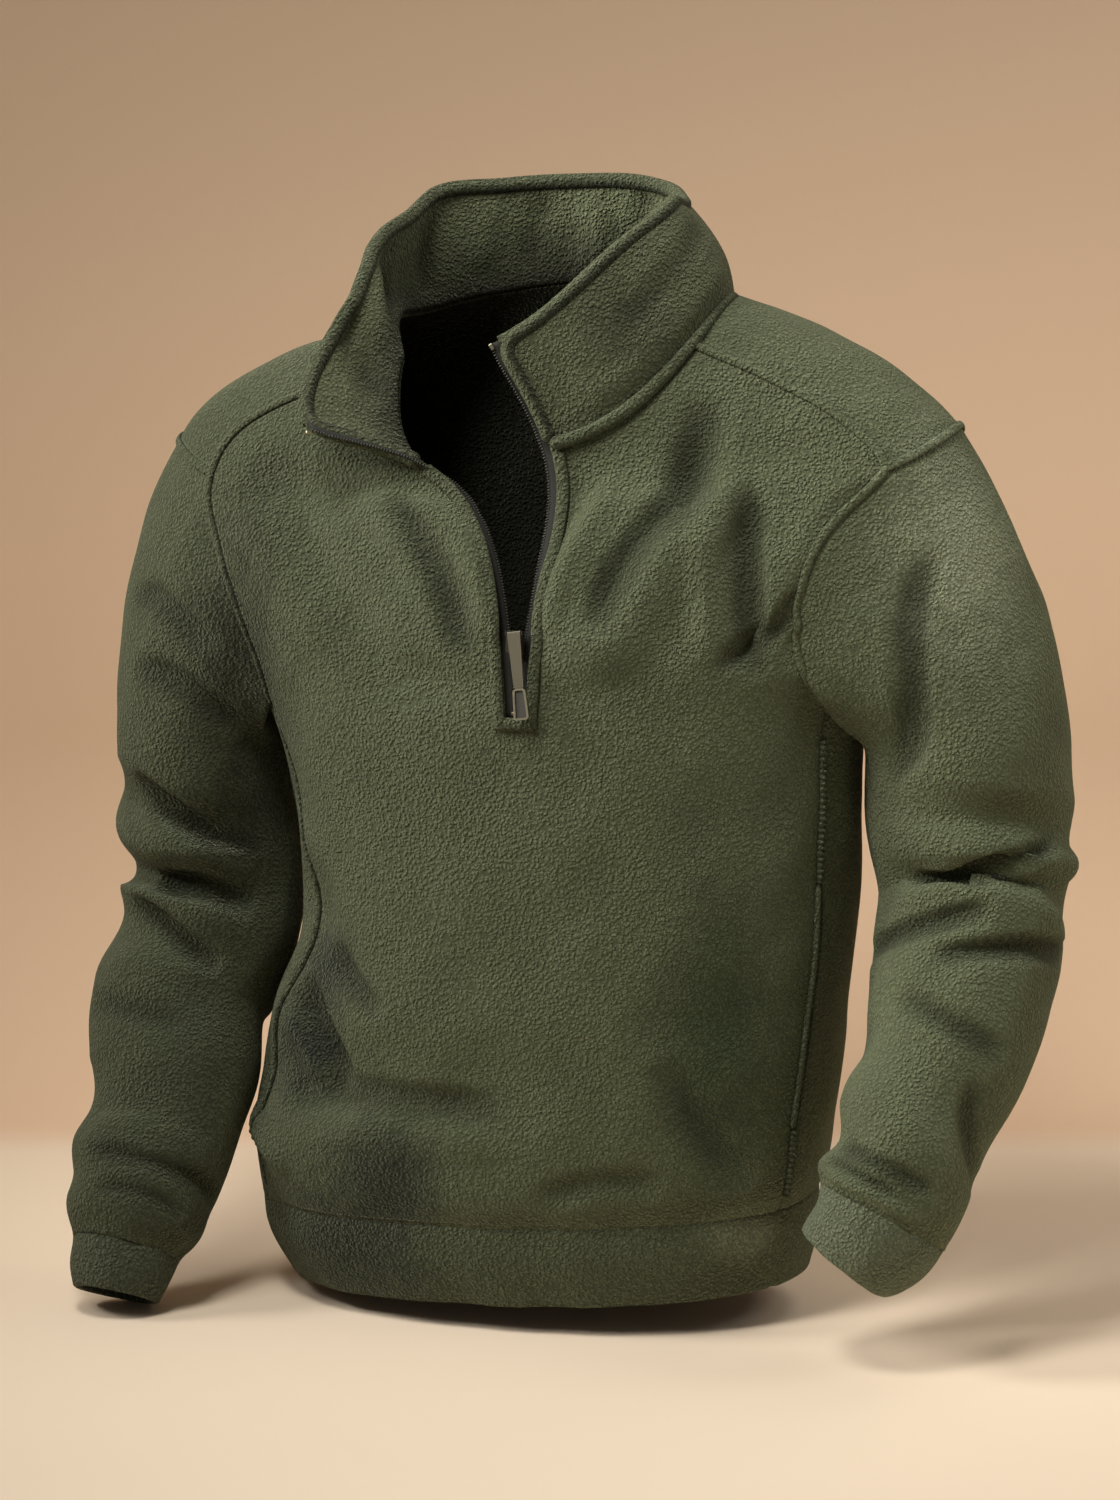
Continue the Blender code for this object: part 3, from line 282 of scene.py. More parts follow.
def near_line(points, line):
    """For each point, how far a polyline is, its share of the way along it, and the vector from it."""
    run = run_along(line)
    best = np.full(points.shape[:-1], np.inf)
    share = np.zeros(best.shape)
    away = np.zeros(points.shape)
    for k, step in enumerate(np.diff(line, axis=0)):
        t = np.clip((points - line[k]) @ step / (step @ step + 1e-18), 0, 1)
        off = points - line[k] - t[..., None] * step
        distance = np.linalg.norm(off, axis=-1)
        closer = distance < best
        best = np.where(closer, distance, best)
        share = np.where(closer, (run[k] + t * (run[k + 1] - run[k])) / run[-1], share)
        away = np.where(closer[..., None], off, away)
    return best, share, away


CREASE_STEPS = 14


def three_point(a, b, c):
    """A smooth path through three places of a surface."""
    t = np.linspace(0, 1, CREASE_STEPS + 1)[:, None]
    return a * (1 - t) ** 2 + 2 * t * (1 - t) * (2 * b - (a + c) / 2) + c * t * t


def crease_lift(points, normals, creases, place):
    """How far each point of a surface stands out, from the creases of a table.

    A crease runs through three places. reach is its half width in metres, steep makes one side
    steeper, and lift is how far it stands out, or in below 0.
    """
    total = np.zeros(points.shape[:-1])
    for *through, reach, steep, lift in zip(*creases.values()):
        line = place(*three_point(*np.reshape(through, (3, 2))).T)
        distance, share, away = near_line(points, line)
        tangent = line[-1] - line[0]
        side = np.sign((np.cross(normals, tangent) * away).sum(axis=-1))
        off = np.clip(distance / (reach * (1 - steep * side)), 0, 1)
        fade = np.clip(np.minimum(share, 1 - share) / 0.3, 0, 1)
        total = total + lift * (1 - off**2) ** 2 * fade * (2 - fade)
    return total


# Creases of the body: places are a turn and a height.
TORSO_CREASES = table("""
  a1     b1     a2     b2     a3     b3 reach steep    lift
  60 -0.079   57.0 -0.165   47.0 -0.245 0.015  0.35 -0.0115
  67 -0.090   65.0 -0.165   59.0 -0.235 0.018     0  0.0070
  46 -0.014   65.0 -0.061   67.0 -0.137 0.022     0 -0.0065
  97 -0.095   94.0 -0.160   92.2 -0.212 0.011  0.20  0.0080
 107 -0.070   99.5 -0.150   95.5 -0.228 0.018  0.20 -0.0110
 120 -0.080  112.0 -0.160  105.0 -0.240 0.024     0  0.0060
  76 -0.040   83.5 -0.132   87.0 -0.214 0.014     0  0.0090
  58 -0.025   74.5 -0.115   80.0 -0.212 0.019 -0.20 -0.0105
  44 -0.190   50.0 -0.222   58.0 -0.232 0.013  0.30 -0.0080
  40 -0.150   42.0 -0.190   50.0 -0.212 0.013     0  0.0050
 150 -0.462  136.0 -0.492  124.0 -0.530 0.018  0.35 -0.0120
 141 -0.436  129.0 -0.456  116.0 -0.478 0.014  0.20 -0.0065
 152 -0.490  140.0 -0.510  130.0 -0.542 0.014     0  0.0060
 142 -0.540  116.0 -0.532   88.0 -0.536 0.017  0.20 -0.0060
 140 -0.566  112.0 -0.560   86.0 -0.566 0.016     0  0.0035
 166 -0.566  150.0 -0.577  138.0 -0.594 0.016     0  0.0060
  36 -0.600   50.0 -0.560   62.0 -0.500 0.020     0 -0.0045
  84 -0.600   72.0 -0.585   58.0 -0.590 0.014  0.20 -0.0035
 -40 -0.300  -75.0 -0.330 -110.0 -0.318 0.018  0.20 -0.0070
-140 -0.330 -110.0 -0.372  -80.0 -0.380 0.018  0.20 -0.0060
 -30 -0.430  -58.0 -0.462  -88.0 -0.455 0.016  0.30 -0.0070
-150 -0.470 -120.0 -0.505  -92.0 -0.510 0.018  0.30 -0.0070
 -38 -0.560  -70.0 -0.548 -100.0 -0.560 0.016     0 -0.0045
 -36 -0.180  -52.0 -0.225  -70.0 -0.290 0.018  0.20 -0.0070
-144 -0.180 -130.0 -0.228 -112.0 -0.290 0.018 -0.20 -0.0070
""")
WAVES = table("""
  x   y   z phase  height
 92  20  31   0.3 0.00034
-48  71  60   1.9 0.00034
 33 -57  88   4.1 0.00030
118  49 -72   2.7 0.00020
-77 121  96   5.2 0.00018
 24  39 -51   0.9 0.00044
""")


def undulation(points):
    """The faint unevenness of soft cloth, from a few crossing waves."""
    total = 0
    for x, y, z, phase, height in zip(*WAVES.values()):
        total = total + height * np.sin(points @ [x, y, z] + phase)
    return total


SEAM_REACH, SEAM_DEPTH = 0.0055, 0.0013
SIDE_LINES = [torso(turn, np.linspace(HEM, UNDERARM, 31)) for turn in (SIDE_SEAM, 180 - SIDE_SEAM)]


def finished_torso(places):
    """Points, normals and lift of the finished outer face, with its creases and sunk side seams."""
    points = torso(places[..., 0], places[..., 1])
    normals = facing(torso, places[..., 0], places[..., 1])
    lift = crease_lift(points, normals, TORSO_CREASES, torso) + undulation(points)
    for line in SIDE_LINES:
        off = np.clip(near_line(points, line)[0] / SEAM_REACH, 0, 1)
        lift = lift - SEAM_DEPTH * (1 - off**2) ** 2
    return raised(points, normals, lift), normals, lift


def worn(places):
    return finished_torso(places)[:2]


def crease_painted_shade(lift, dark=0.55, deep=0.006):
    """Painted shade in a crease: this dark at this depth in metres."""
    return dark * np.clip(-lift / deep, 0, 1)


def srgb(code):
    """A linear colour from a hex code."""
    parts = (int(code[i : i + 2], 16) / 255 for i in (0, 2, 4))
    return (*(c / 12.92 if c <= 0.04045 else ((c + 0.055) / 1.055) ** 2.4 for c in parts), 1.0)


def put(tree, kind, *sockets, **named):
    """A shader node. Capital names are its sockets and small ones its settings; outputs are wired."""
    made = tree.nodes.new("ShaderNode" + kind)
    wires = list(enumerate(sockets))
    for name, value in named.items():
        if name[0].isupper():
            wires.append((name.replace("_", " "), value))
        else:
            setattr(made, name, value)
    for key, value in wires:
        if isinstance(value, bpy.types.NodeSocket):
            tree.links.new(value, made.inputs[key])
        else:
            made.inputs[key].default_value = value
    return made.outputs[0]


def ranged(tree, value, low, high, at_low, at_high, kind="LINEAR"):
    """A value carried from one range to another."""
    ends = {"From_Min": low, "From_Max": high, "To_Min": at_low, "To_Max": at_high}
    return put(tree, "MapRange", Value=value, interpolation_type=kind, **ends)


def mixed(tree, amount, first, second, kind="MIX"):
    return put(tree, "MixRGB", Fac=amount, Color1=first, Color2=second, blend_type=kind)


def begin(name):
    """A new material, its node tree, its shader and the places on the object."""
    made = bpy.data.materials.new(name)
    made.use_nodes = True
    tree = made.node_tree
    return made, tree, tree.nodes["Principled BSDF"], put(tree, "TexCoord").node.outputs["Object"]


def settle(shader, settings):
    for socket, value in settings.items():
        shader.inputs[socket].default_value = value


# Stains, and patches of painted shade and painted light as noted: tone, strength, middle x, y and z, and
# half size across and up.
STAINS_AND_PAINTED_PATCHES = [
    ("2C312C", 0.95, -0.143, -0.085, -0.457, 0.045, 0.045),
    ("2C312C", 0.95, -0.165, -0.087, -0.510, 0.052, 0.060),
    ("2C312C", 0.90, -0.090, -0.132, -0.592, 0.060, 0.055),
    ("2C312C", 0.92, -0.125, -0.110, -0.645, 0.095, 0.060),
    # painted shade beside the wearer's right armhole, where the sleeve meets the body
    ("272A20", 0.85, -0.203, -0.080, -0.240, 0.060, 0.150),
    ("272A20", 0.85, -0.205, -0.040, -0.350, 0.060, 0.100),
    ("23331E", 0.62, 0.136, -0.112, -0.480, 0.058, 0.140),
    # a darker patch at the foot of the collar, left of the zip
    ("3A3E2E", 0.50, 0.068, -0.081, -0.014, 0.050, 0.040),
    # a painted highlight on the outside of the left sleeve
    ("8A9078", 0.55, 0.292, -0.056, -0.150, 0.075, 0.120),
    # painted light on the front of the hem band, on the wearer's left
    ("7C8269", 0.50, 0.155, -0.085, -0.628, 0.050, 0.030),
]


def stains_and_painted_light(tree, place, mottle, base):
    """The cloth's tone with its stains and painted patches, and painted light and shade across it: paler
    towards the wearer's left, dimmer towards the right.
    """
    for tone, strength, x, y, z, wide, tall in STAINS_AND_PAINTED_PATCHES:
        shift = put(tree, "VectorMath", place, (x, y, z), operation="SUBTRACT")
        scaled = put(tree, "VectorMath", shift, (1 / wide, 1 / wide, 1 / tall), operation="MULTIPLY")
        length = put(tree, "VectorMath", scaled, operation="LENGTH").node.outputs["Value"]
        ragged = put(tree, "Math", mottle, 0.9, operation="MULTIPLY")
        edge = put(tree, "Math", length, ragged, operation="ADD")
        base = mixed(tree, ranged(tree, edge, 0.55, 1.5, strength, 0.0, "SMOOTHSTEP"), base, srgb(tone))
    # painted light and shade: the colour is paler towards the wearer's left side and dimmer towards the
    # right
    fade = ranged(tree, put(tree, "SeparateXYZ", place), -0.3, 0.3, 0.56, 1.60)
    return mixed(tree, 1.0, base, fade, "MULTIPLY")


def fleece_material(name, lit, deep, nap=1.0):
    """Polyester fleece: short pile curled into pebbles, worn into soft patches, with a dusty sheen, painted
    shade and painted light.
    """
    made, tree, shader, place = begin(name)
    patches = put(tree, "TexNoise", Vector=place, Scale=14.0, Detail=2.0, Roughness=0.55)
    mottle = put(tree, "TexNoise", Vector=place, Scale=60.0, Detail=3.0, Roughness=0.6)
    drift = put(tree, "TexNoise", Vector=place, Scale=300.0, Detail=1.0).node.outputs["Color"]
    drift = put(tree, "VectorMath", drift, (0.5,) * 3, operation="SUBTRACT")
    drift = put(tree, "VectorMath", drift, (0.0025,) * 3, operation="MULTIPLY")
    bent = put(tree, "VectorMath", place, drift, operation="ADD")
    pebble = put(tree, "TexVoronoi", Vector=bent, Scale=410.0)
    pebble = ranged(tree, pebble, 0.05, 0.75, 1.0, 0.0, "SMOOTHSTEP")
    grain = put(tree, "TexNoise", Vector=place, Scale=1500.0, Detail=2.0)
    base = stains_and_painted_light(tree, place, mottle, mixed(tree, patches, srgb(deep), srgb(lit)))
    # painted shade between the pebbles: the colour is darker in the hollows of the pile
    base = mixed(tree, 1.0, base, ranged(tree, pebble, 0.0, 0.6, 1 - 0.32 * nap, 1.06), "MULTIPLY")
    base = mixed(tree, 1.0, base, ranged(tree, grain, 0.3, 0.7, 0.90, 1.10), "MULTIPLY")
    # painted shade: the shade attribute darkens the colour towards near black
    shade = put(tree, "Attribute", attribute_name="shade").node.outputs["Fac"]
    tree.links.new(mixed(tree, shade, base, srgb("14150F")), shader.inputs["Base Color"])
    pile = put(tree, "Math", pebble, ranged(tree, patches, 0.35, 0.65, 0.55, 1.0), operation="MULTIPLY")
    for layer, weight in ((grain, 0.35), (mottle, 0.7)):
        layer = put(tree, "Math", layer, weight, operation="MULTIPLY")
        pile = put(tree, "Math", pile, layer, operation="ADD")
    bump = put(tree, "Bump", Strength=1.0, Distance=0.0030 * nap, Height=pile)
    tree.links.new(bump, shader.inputs["Normal"])
    settle(shader, {"Roughness": 0.92, "Specular IOR Level": 0.12})
    settle(shader, {"Sheen Weight": 0.30, "Sheen Roughness": 0.45, "Sheen Tint": srgb("B9C0A0")})
    return made


FLEECE_LOOK = fleece_material("olive_fleece", "5A6149", "4B523D")
# a dark copy of the fleece for the inner face of the cloth and the pocket's mouth: painted shade
INSIDE_PAINTED_SHADE_LOOK = fleece_material("olive_fleece_inside_painted_shade", "24251C", "1C1D16")


def shown(name, mesh, look):
    """An object in the scene, smooth and of one material, from a bmesh that ends here."""
    data = bpy.data.meshes.new(name)
    mesh.to_mesh(data)
    mesh.free()
    data.shade_smooth()
    data.materials.append(look)
    made = bpy.data.objects.new(name, data)
    bpy.context.scene.collection.objects.link(made)
    return made


def cloth(name, points, normals, look, wall=None, cut=None, shade=None):
    """A sheet of cloth from a grid of points on its outer face. cut tells which cells to leave out.

    A grid whose last row or column repeats its first is closed there. shade is painted shade, which darkens
    the colour.
    """
    mesh = bmesh.new()
    bmesh.ops.create_grid(mesh, x_segments=points.shape[1] - 1, y_segments=points.shape[0] - 1, size=1)
    draft = bpy.data.meshes.new("draft")
    mesh.to_mesh(draft)
    draft.vertices.foreach_set("co", points.ravel())
    if shade is not None:
        draft.attributes.new("shade", "FLOAT", "POINT").data.foreach_set("value", shade.ravel())
    draft.update()
    found = np.empty(points.size)
    draft.vertices.foreach_get("normal", found)
    if found @ normals.ravel() < 0:
        draft.flip_normals()
    mesh.clear()
    mesh.from_mesh(draft)
    bpy.data.meshes.remove(draft)
    if cut is not None:
        dropped = [face for face, gone in zip(mesh.faces, cut.ravel()) if gone]
        bmesh.ops.delete(mesh, geom=dropped, context="FACES")
    bmesh.ops.remove_doubles(mesh, verts=mesh.verts, dist=1e-6)
    made = shown(name, mesh, look)
    if wall:
        solid = made.modifiers.new("wall", "SOLIDIFY")
        solid.thickness = wall
        solid.offset = -1
        # the inner face gets the dark inside copy of the fleece, painted shade
        if look is FLEECE_LOOK:
            made.data.materials.append(INSIDE_PAINTED_SHADE_LOOK)
            solid.material_offset = 1
    return made


def dressed(piece, nodes):
    """Puts a piece on the garment in place of its solids."""
    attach(piece, "garment")
    if nodes:
        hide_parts(*nodes)
    return piece


EASE_PASSES, EASE_COLUMNS = 260, 20


def softened(path, passes):
    """A path with its corners rounded, its ends kept."""
    for _ in range(passes):
        path = np.concatenate([path[:1], (path[:-2] + 2 * path[1:-1] + path[2:]) / 4, path[-1:]])
    return path


def eased(panel, stand, side):
    """Rounds the corner that the slit makes with the end of the collar, in both grids at once."""
    column = panel.shape[1] // 2 - (side < 0)
    end = -1 if side > 0 else 0
    rows = np.arange(SIDE_ROWS, len(panel))
    edge = np.concatenate([panel[rows, column], stand[1:, end]])
    moved = softened(edge, EASE_PASSES) - edge
    for k in range(EASE_COLUMNS):
        share = (1 - k / EASE_COLUMNS) ** 2
        panel[rows, column + side * k] += moved[: len(rows)] * share
        stand[:, end - side * k] += moved[len(rows) - 1 :] * share


halves = {side: front_half(side) for side in SIDES}
front_places = np.concatenate([halves[RIGHT], halves[LEFT][:, ::-1]], axis=1)
front_points, front_normals, front_lift = finished_torso(front_places)
front_cut = np.zeros(np.subtract(front_lift.shape, 1), bool)
front_cut[SIDE_ROWS:, front_places.shape[1] // 2 - 1] = True


# ================ back
# The back panel, one piece of the same fleece from side seam to side seam and up over the
# shoulders, joined to the front by felled shoulder seams and overlocked side seams.
def back_half(side):
    """The left or right half of the back, from its side seam to the middle of the back."""
    outer = edge_up(BACK_CORNER, evenly(BACK_ARMHOLE, BACK_ARM_ROWS))
    inner = edge_up(BACK_MIDDLE, blend((BACK_MIDDLE, UNDERARM), (BACK_MIDDLE, NECK), BACK_ARM_ROWS))
    grid = patch(outer, inner, edge_over((BACK_MIDDLE, NECK), BACK_NECK_COLUMNS))
    wrap = blend(SIDE_SEAM, BACK_CORNER, UNDERARM_COLUMNS)[:-1, 0]
    wrapped = placed(wrap, np.minimum(outer[:, 1], UNDERARM)[:, None])
    return to_side(np.concatenate([wrapped, grid], axis=1), side)


back_halves = {side: back_half(side) for side in SIDES}
back_places = np.concatenate([back_halves[LEFT], back_halves[RIGHT][:, -2::-1]], axis=1)
back_points, back_normals, back_lift = finished_torso(back_places)
back_cut = np.zeros(np.subtract(back_lift.shape, 1), bool)
back_cut[SIDE_ROWS:, :UNDERARM_COLUMNS] = True
back_cut[SIDE_ROWS:, -UNDERARM_COLUMNS:] = True
# painted shade in the back's creases
back = cloth("fleece_back", back_points, back_normals, FLEECE_LOOK, FLEECE, back_cut, crease_painted_shade(back_lift))
dressed(back, ["back_lower_left", "back_lower_right", "back_upper_left", "back_upper_right"])


# ================ sleeves
# Each sleeve is one tube from its armhole to the cuff seam. It bunches at the elbow and above
# the cuff, where the cloth that is too long for the arm piles up.
ARM = {
    LEFT: table("""
    x      y      z  wide  deep
0.287  0.002 -0.305 0.070 0.086
0.290 -0.003 -0.355 0.071 0.078
0.294 -0.012 -0.402 0.064 0.070
0.292 -0.040 -0.448 0.063 0.066
0.285 -0.072 -0.497 0.056 0.060
0.270 -0.102 -0.540 0.050 0.056
0.252 -0.126 -0.598 0.046 0.050
0.228 -0.133 -0.628 0.036 0.040
"""),
    RIGHT: table("""
     x      y      z  wide  deep
-0.263  0.014 -0.318 0.065 0.086
-0.261  0.015 -0.375 0.064 0.078
-0.257  0.008 -0.432 0.064 0.070
-0.276 -0.016 -0.495 0.064 0.066
-0.272 -0.050 -0.548 0.060 0.060
-0.276 -0.088 -0.606 0.052 0.054
-0.284 -0.118 -0.657 0.038 0.040
-0.287 -0.130 -0.685 0.031 0.032
"""),
}
CUFF_SEAM = 6
SLEEVE_PARTS = ("cap", "top", "upper", "elbow", "lower")  # the solids that a sleeve replaces
# How steeply a sleeve's cap leaves the armhole, over the shoulder and under the arm.
CAP_SLOPE, UNDER_SLOPE = math.radians(57), math.radians(72)
# Folds of the sleeves: at is a row of ARM, and the rest of the place is an angle and its spread.
SLEEVE_FOLDS = {
    LEFT: table("""
  at angle spread reach   lift slant
0.90   130     90  0.34 -0.008   0.4
1.35   120     80  0.30  0.006   0.4
1.85   120     85  0.30 -0.009   0.2
2.40   110     80  0.32  0.006  -0.1
4.70   100    100  0.34 -0.006   0.4
5.30    90    110  0.34  0.005   0.4
5.35    20     60  0.20 -0.005     0
5.70    20     90  0.20  0.006     0
1.70   300     70  0.34 -0.007   0.2
3.10   290     80  0.36 -0.006  -0.2
"""),
    RIGHT: table("""
  at angle spread reach   lift slant
0.60   110     80  0.34 -0.008  -0.5
1.10   120     80  0.30  0.006  -0.4
1.60   110     90  0.32 -0.011  -0.3
2.20   100     90  0.30  0.008  -0.2
2.55   110     80  0.26 -0.010   0.1
4.55   110    100  0.34 -0.008  -0.3
5.10   110    110  0.30  0.006  -0.2
5.62    90    180  0.24  0.007     0
1.70   290     70  0.34 -0.007   0.2
3.40   290     80  0.36 -0.006  -0.2
"""),
}
# Creases of the sleeves: places are a row of ARM, which is below 0 on the cap, and an angle.
SLEEVE_CREASES = {
    LEFT: table("""
   a1  b1    a2  b2   a3  b3 reach steep    lift
-0.72 141 -0.40  95 0.29  46 0.018  0.20 -0.0060
 2.20  55  1.53 103 1.22 155 0.013  0.40 -0.0100
 2.60  50  1.90 105 1.55 158 0.015     0  0.0050
 2.92   5  2.88  62 2.57 112 0.012  0.30 -0.0080
 3.20  78  2.92 125 2.45 192 0.011  0.45 -0.0090
 2.10 130  1.85 155 1.43 185 0.015     0  0.0045
 4.48 139  5.05 157 5.41 203 0.014     0 -0.0045
 5.60  36  5.68  70 5.76 106 0.008  0.30 -0.0050
 5.43  38  5.53  90 5.60 132 0.009  0.30 -0.0055
 5.97  45  6.08  94 6.14 139 0.007     0 -0.0045
 5.75  40  5.86  92 5.92 136 0.008     0  0.0045
 6.12  92  6.21 142 5.98 200 0.008  0.20 -0.0045
 3.70  60  3.95 100 4.05 150 0.016  0.20 -0.0040
 1.60 260  1.75 300 1.60 345 0.014  0.30 -0.0070
 2.70 230  2.80 280 2.60 330 0.013  0.20 -0.0070
 5.20 215  5.30 270 5.20 330 0.012  0.20 -0.0060
 5.70 220  5.80 275 5.70 335 0.010     0 -0.0050
"""),
    RIGHT: table("""
   a1  b1    a2  b2    a3  b3 reach steep   lift
-0.52 148 -0.62 112 -0.70  76 0.016  0.30 -0.006
-0.30 128 -0.42  88 -0.38  42 0.016  0.30 -0.006
 0.10 120  0.72  82  1.42  40 0.017  0.35 -0.010
 0.45 128  1.05  88  1.62  46 0.016     0  0.005
 1.60 118  1.74  85  1.96  42 0.015  0.40 -0.011
 2.30 130  2.45  90  2.62  50 0.012  0.30 -0.008
 3.30 150  3.50 110  3.80  70 0.016     0 -0.004
 5.05 122  5.08  70  5.09 -12 0.011  0.35 -0.008
 4.72 130  4.78  80  4.86  20 0.014     0  0.004
 5.50 110  5.42  70  5.52  30 0.008  0.20 -0.004
 1.60 250  1.70 290  1.60 330 0.014  0.30 -0.007
 3.30 240  3.40 285  3.35 330 0.014  0.20 -0.006
 5.10 215  5.15 270  5.10 325 0.012  0.20 -0.007
"""),
}


def armhole(side):
    """The seam of an armhole, all round: under the arm to the front, up, and down the back."""
    under = blend((BACK_CORNER, UNDERARM), (SIDE_SEAM, UNDERARM), UNDERARM_COLUMNS)
    front_edge = evenly(FRONT_ARMHOLE[side], FRONT_ARM_ROWS)
    back_edge = evenly(BACK_ARMHOLE, BACK_ARM_ROWS)[::-1]
    return to_side(np.concatenate([under[:-1], front_edge[:-1], back_edge[:-1]]), side)


def round_shares(loop):
    run = run_along(np.concatenate([loop, loop[:1]]))
    return (run[:-1] - run[UNDERARM_COLUMNS] / 2) / run[-1]


def sleeve_fold(side, at, angle):
    total = np.zeros(np.broadcast(at, angle).shape)
    for row, middle, spread, reach, lift, slant in zip(*SLEEVE_FOLDS[side].values()):
        off = (np.degrees(angle) - middle + 180) % 360 - 180
        end = 1 - np.clip(np.abs(off) / spread, 0, 1) ** 2
        near = 1 - np.clip(np.abs(at - row - slant * off / 90) / (1.6 * reach), 0, 1) ** 2
        total = total + lift * end * near**2
    return total


def arm_frame(side, at):
    """The middle, across, depth and along axes and half sizes of a sleeve, at places in its table."""
    rows = ARM[side]
    knots = np.arange(len(rows["x"]), dtype=float)
    middle, ahead = (
        np.stack([smooth(knots, rows[name], at + step) for name in "xyz"], axis=-1) for step in (0, 0.02)
    )
    axis = unit(ahead - middle)
    across = unit(np.array([side, 0.0, 0.0]) - axis * (axis @ [side, 0.0, 0.0])[..., None])
    wide, deep = (smooth(knots, rows[name], at) for name in ("wide", "deep"))
    return middle, across, np.cross(across, axis) * side, axis, wide, deep


def arm_ring(side, at, angle):
    """A point on the outer face of a sleeve, at a place in its table and an angle round it."""
    middle, across, depth, _, wide, deep = arm_frame(side, at)
    stand = sleeve_fold(side, at, angle)
    over = across * ((wide + stand) * np.cos(angle))[..., None]
    return middle - over - depth * ((deep + stand) * np.sin(angle))[..., None]


def sleeve_grid(side, seam):
    """The outer face of a sleeve, a row of points for each level, from the armhole to the cuff."""
    angle = 2 * math.pi * round_shares(seam)
    zero = np.zeros(len(angle))
    first = arm_ring(side, zero, angle)
    slope = CAP_SLOPE + (UNDER_SLOPE - CAP_SLOPE) * ((1 + np.cos(angle)) / 2)
    reach = np.linalg.norm(first - seam, axis=1, keepdims=True)
    leave = np.stack([side * np.cos(slope), zero, -np.sin(slope)], axis=1) * reach
    arrive = arm_frame(side, zero)[3] * reach
    rows = []
    for t in np.linspace(0, 1, CAP_ROWS + 1)[:-1]:
        ends = seam * (1 + 2 * t) * (1 - t) ** 2 + leave * t * (1 - t) ** 2
        rows.append(ends + first * t * t * (3 - 2 * t) + arrive * t * t * (t - 1))
    for at in np.linspace(0, CUFF_SEAM, ARM_ROWS + 1):
        rows.append(arm_ring(side, zero + at, angle))
    return np.array(rows), np.degrees(angle)


def ringed(grid):
    return np.concatenate([grid, grid[:, :1]], axis=1)


def grid_normals(points, closed):
    """Normals of a grid whose columns run round and whose rows run along."""
    if not closed:
        return unit(np.cross(np.gradient(points, axis=0), np.gradient(points, axis=1)))
    over = np.roll(points, -1, axis=1) - np.roll(points, 1, axis=1)
    normals = unit(np.cross(np.gradient(points, axis=0), over))
    outward = points - points.mean(axis=1, keepdims=True)
    return normals * np.sign((outward * normals).sum(axis=2).mean())


def on_grid(grid, rows, columns, row, column, period=None):
    """A reader of places on a grid of points, whose rows and columns have these coordinates."""
    i = np.interp(row, rows, np.arange(len(rows)))
    if period:
        column = (np.asarray(column) - columns[0]) % period + columns[0]
        columns = np.append(columns, columns[0] + period)
        grid = ringed(grid)
    j = np.interp(column, columns, np.arange(len(columns)))
    i0 = np.clip(i.astype(int), 0, len(rows) - 2)
    j0 = np.clip(j.astype(int), 0, len(columns) - 2)
    fi, fj = (i - i0)[:, None], (j - j0)[:, None]
    low = grid[i0, j0] * (1 - fj) + grid[i0, j0 + 1] * fj
    high = grid[i0 + 1, j0] * (1 - fj) + grid[i0 + 1, j0 + 1] * fj
    return low * (1 - fi) + high * fi


sleeve_rows = stacked(np.linspace(-1, 0, CAP_ROWS + 1), np.linspace(0, CUFF_SEAM, ARM_ROWS + 1))
sleeves, sleeve_seams, cuff_angles = {}, {}, {}
for side, name in SIDES.items():
    seam, seam_normals = worn(armhole(side))
    grid, angles = sleeve_grid(side, seam)
    normals = grid_normals(grid, closed=True)

    def on_sleeve(row, column):
        return on_grid(grid, sleeve_rows, angles, row, column, period=360)

    lift = crease_lift(grid, normals, SLEEVE_CREASES[side], on_sleeve) + undulation(grid)
    clear = np.clip(np.arange(len(grid)) / (CAP_ROWS * 0.3), 0, 1)
    calm = np.clip((len(grid) - 1 - np.arange(len(grid))) / 3, 0, 1)
    lift = lift * clear[:, None] * calm[:, None]
    # painted shade in the sleeve's creases
    points, shade = ringed(raised(grid, normals, lift)), ringed(crease_painted_shade(lift, 0.60, 0.004))
    piece = cloth(f"fleece_sleeve_{name}", points, ringed(normals), FLEECE_LOOK, FLEECE, shade=shade)
    dressed(piece, [f"sleeve_{name}_{part}" for part in SLEEVE_PARTS])
    sleeves[side] = piece
    sleeve_seams[side] = (seam, seam_normals)
    cuff_angles[side] = angles


# ================ cuffs
# A doubled band of fleece sewn on at the end of each sleeve and folded at its open end, with the
# sleeve bunched over it.
TRIM_LOOK = fleece_material("olive_fleece_trim", "555C45", "474D39", 1.25)
# lighter copies of the fleece for the collar and the cuffs: painted light; the cuffs' copy is also a little
# cooler
COLLAR_PAINTED_LIGHT_LOOK = fleece_material("olive_fleece_collar_painted_light", "6E7558", "5E654A", 1.25)
CUFF_PAINTED_LIGHT_LOOK = fleece_material("olive_fleece_cuff_painted_light", "646C58", "555D4A", 1.25)
CUFF_PUFF = 0.0012


FOLD_STEPS = 5


def doubled(points, normals):
    """A grid all round a doubled band: its outer face, its rounded fold, and its inner face."""
    along = unit(points[-1] - points[-2])
    middle = points[-1] - normals[-1] * DOUBLED / 2
    fold = []
    for turn in np.linspace(0, math.pi, FOLD_STEPS + 2)[1:-1]:
        fold.append(middle + (normals[-1] * math.cos(turn) + along * math.sin(turn)) * DOUBLED / 2)
    inner = points - normals * DOUBLED
    rows = np.concatenate([points, np.array(fold), inner[::-1], points[:1]])
    tips = np.repeat(along[None], FOLD_STEPS, axis=0)
    return rows, np.concatenate([normals, tips, -normals[::-1], normals[:1]])


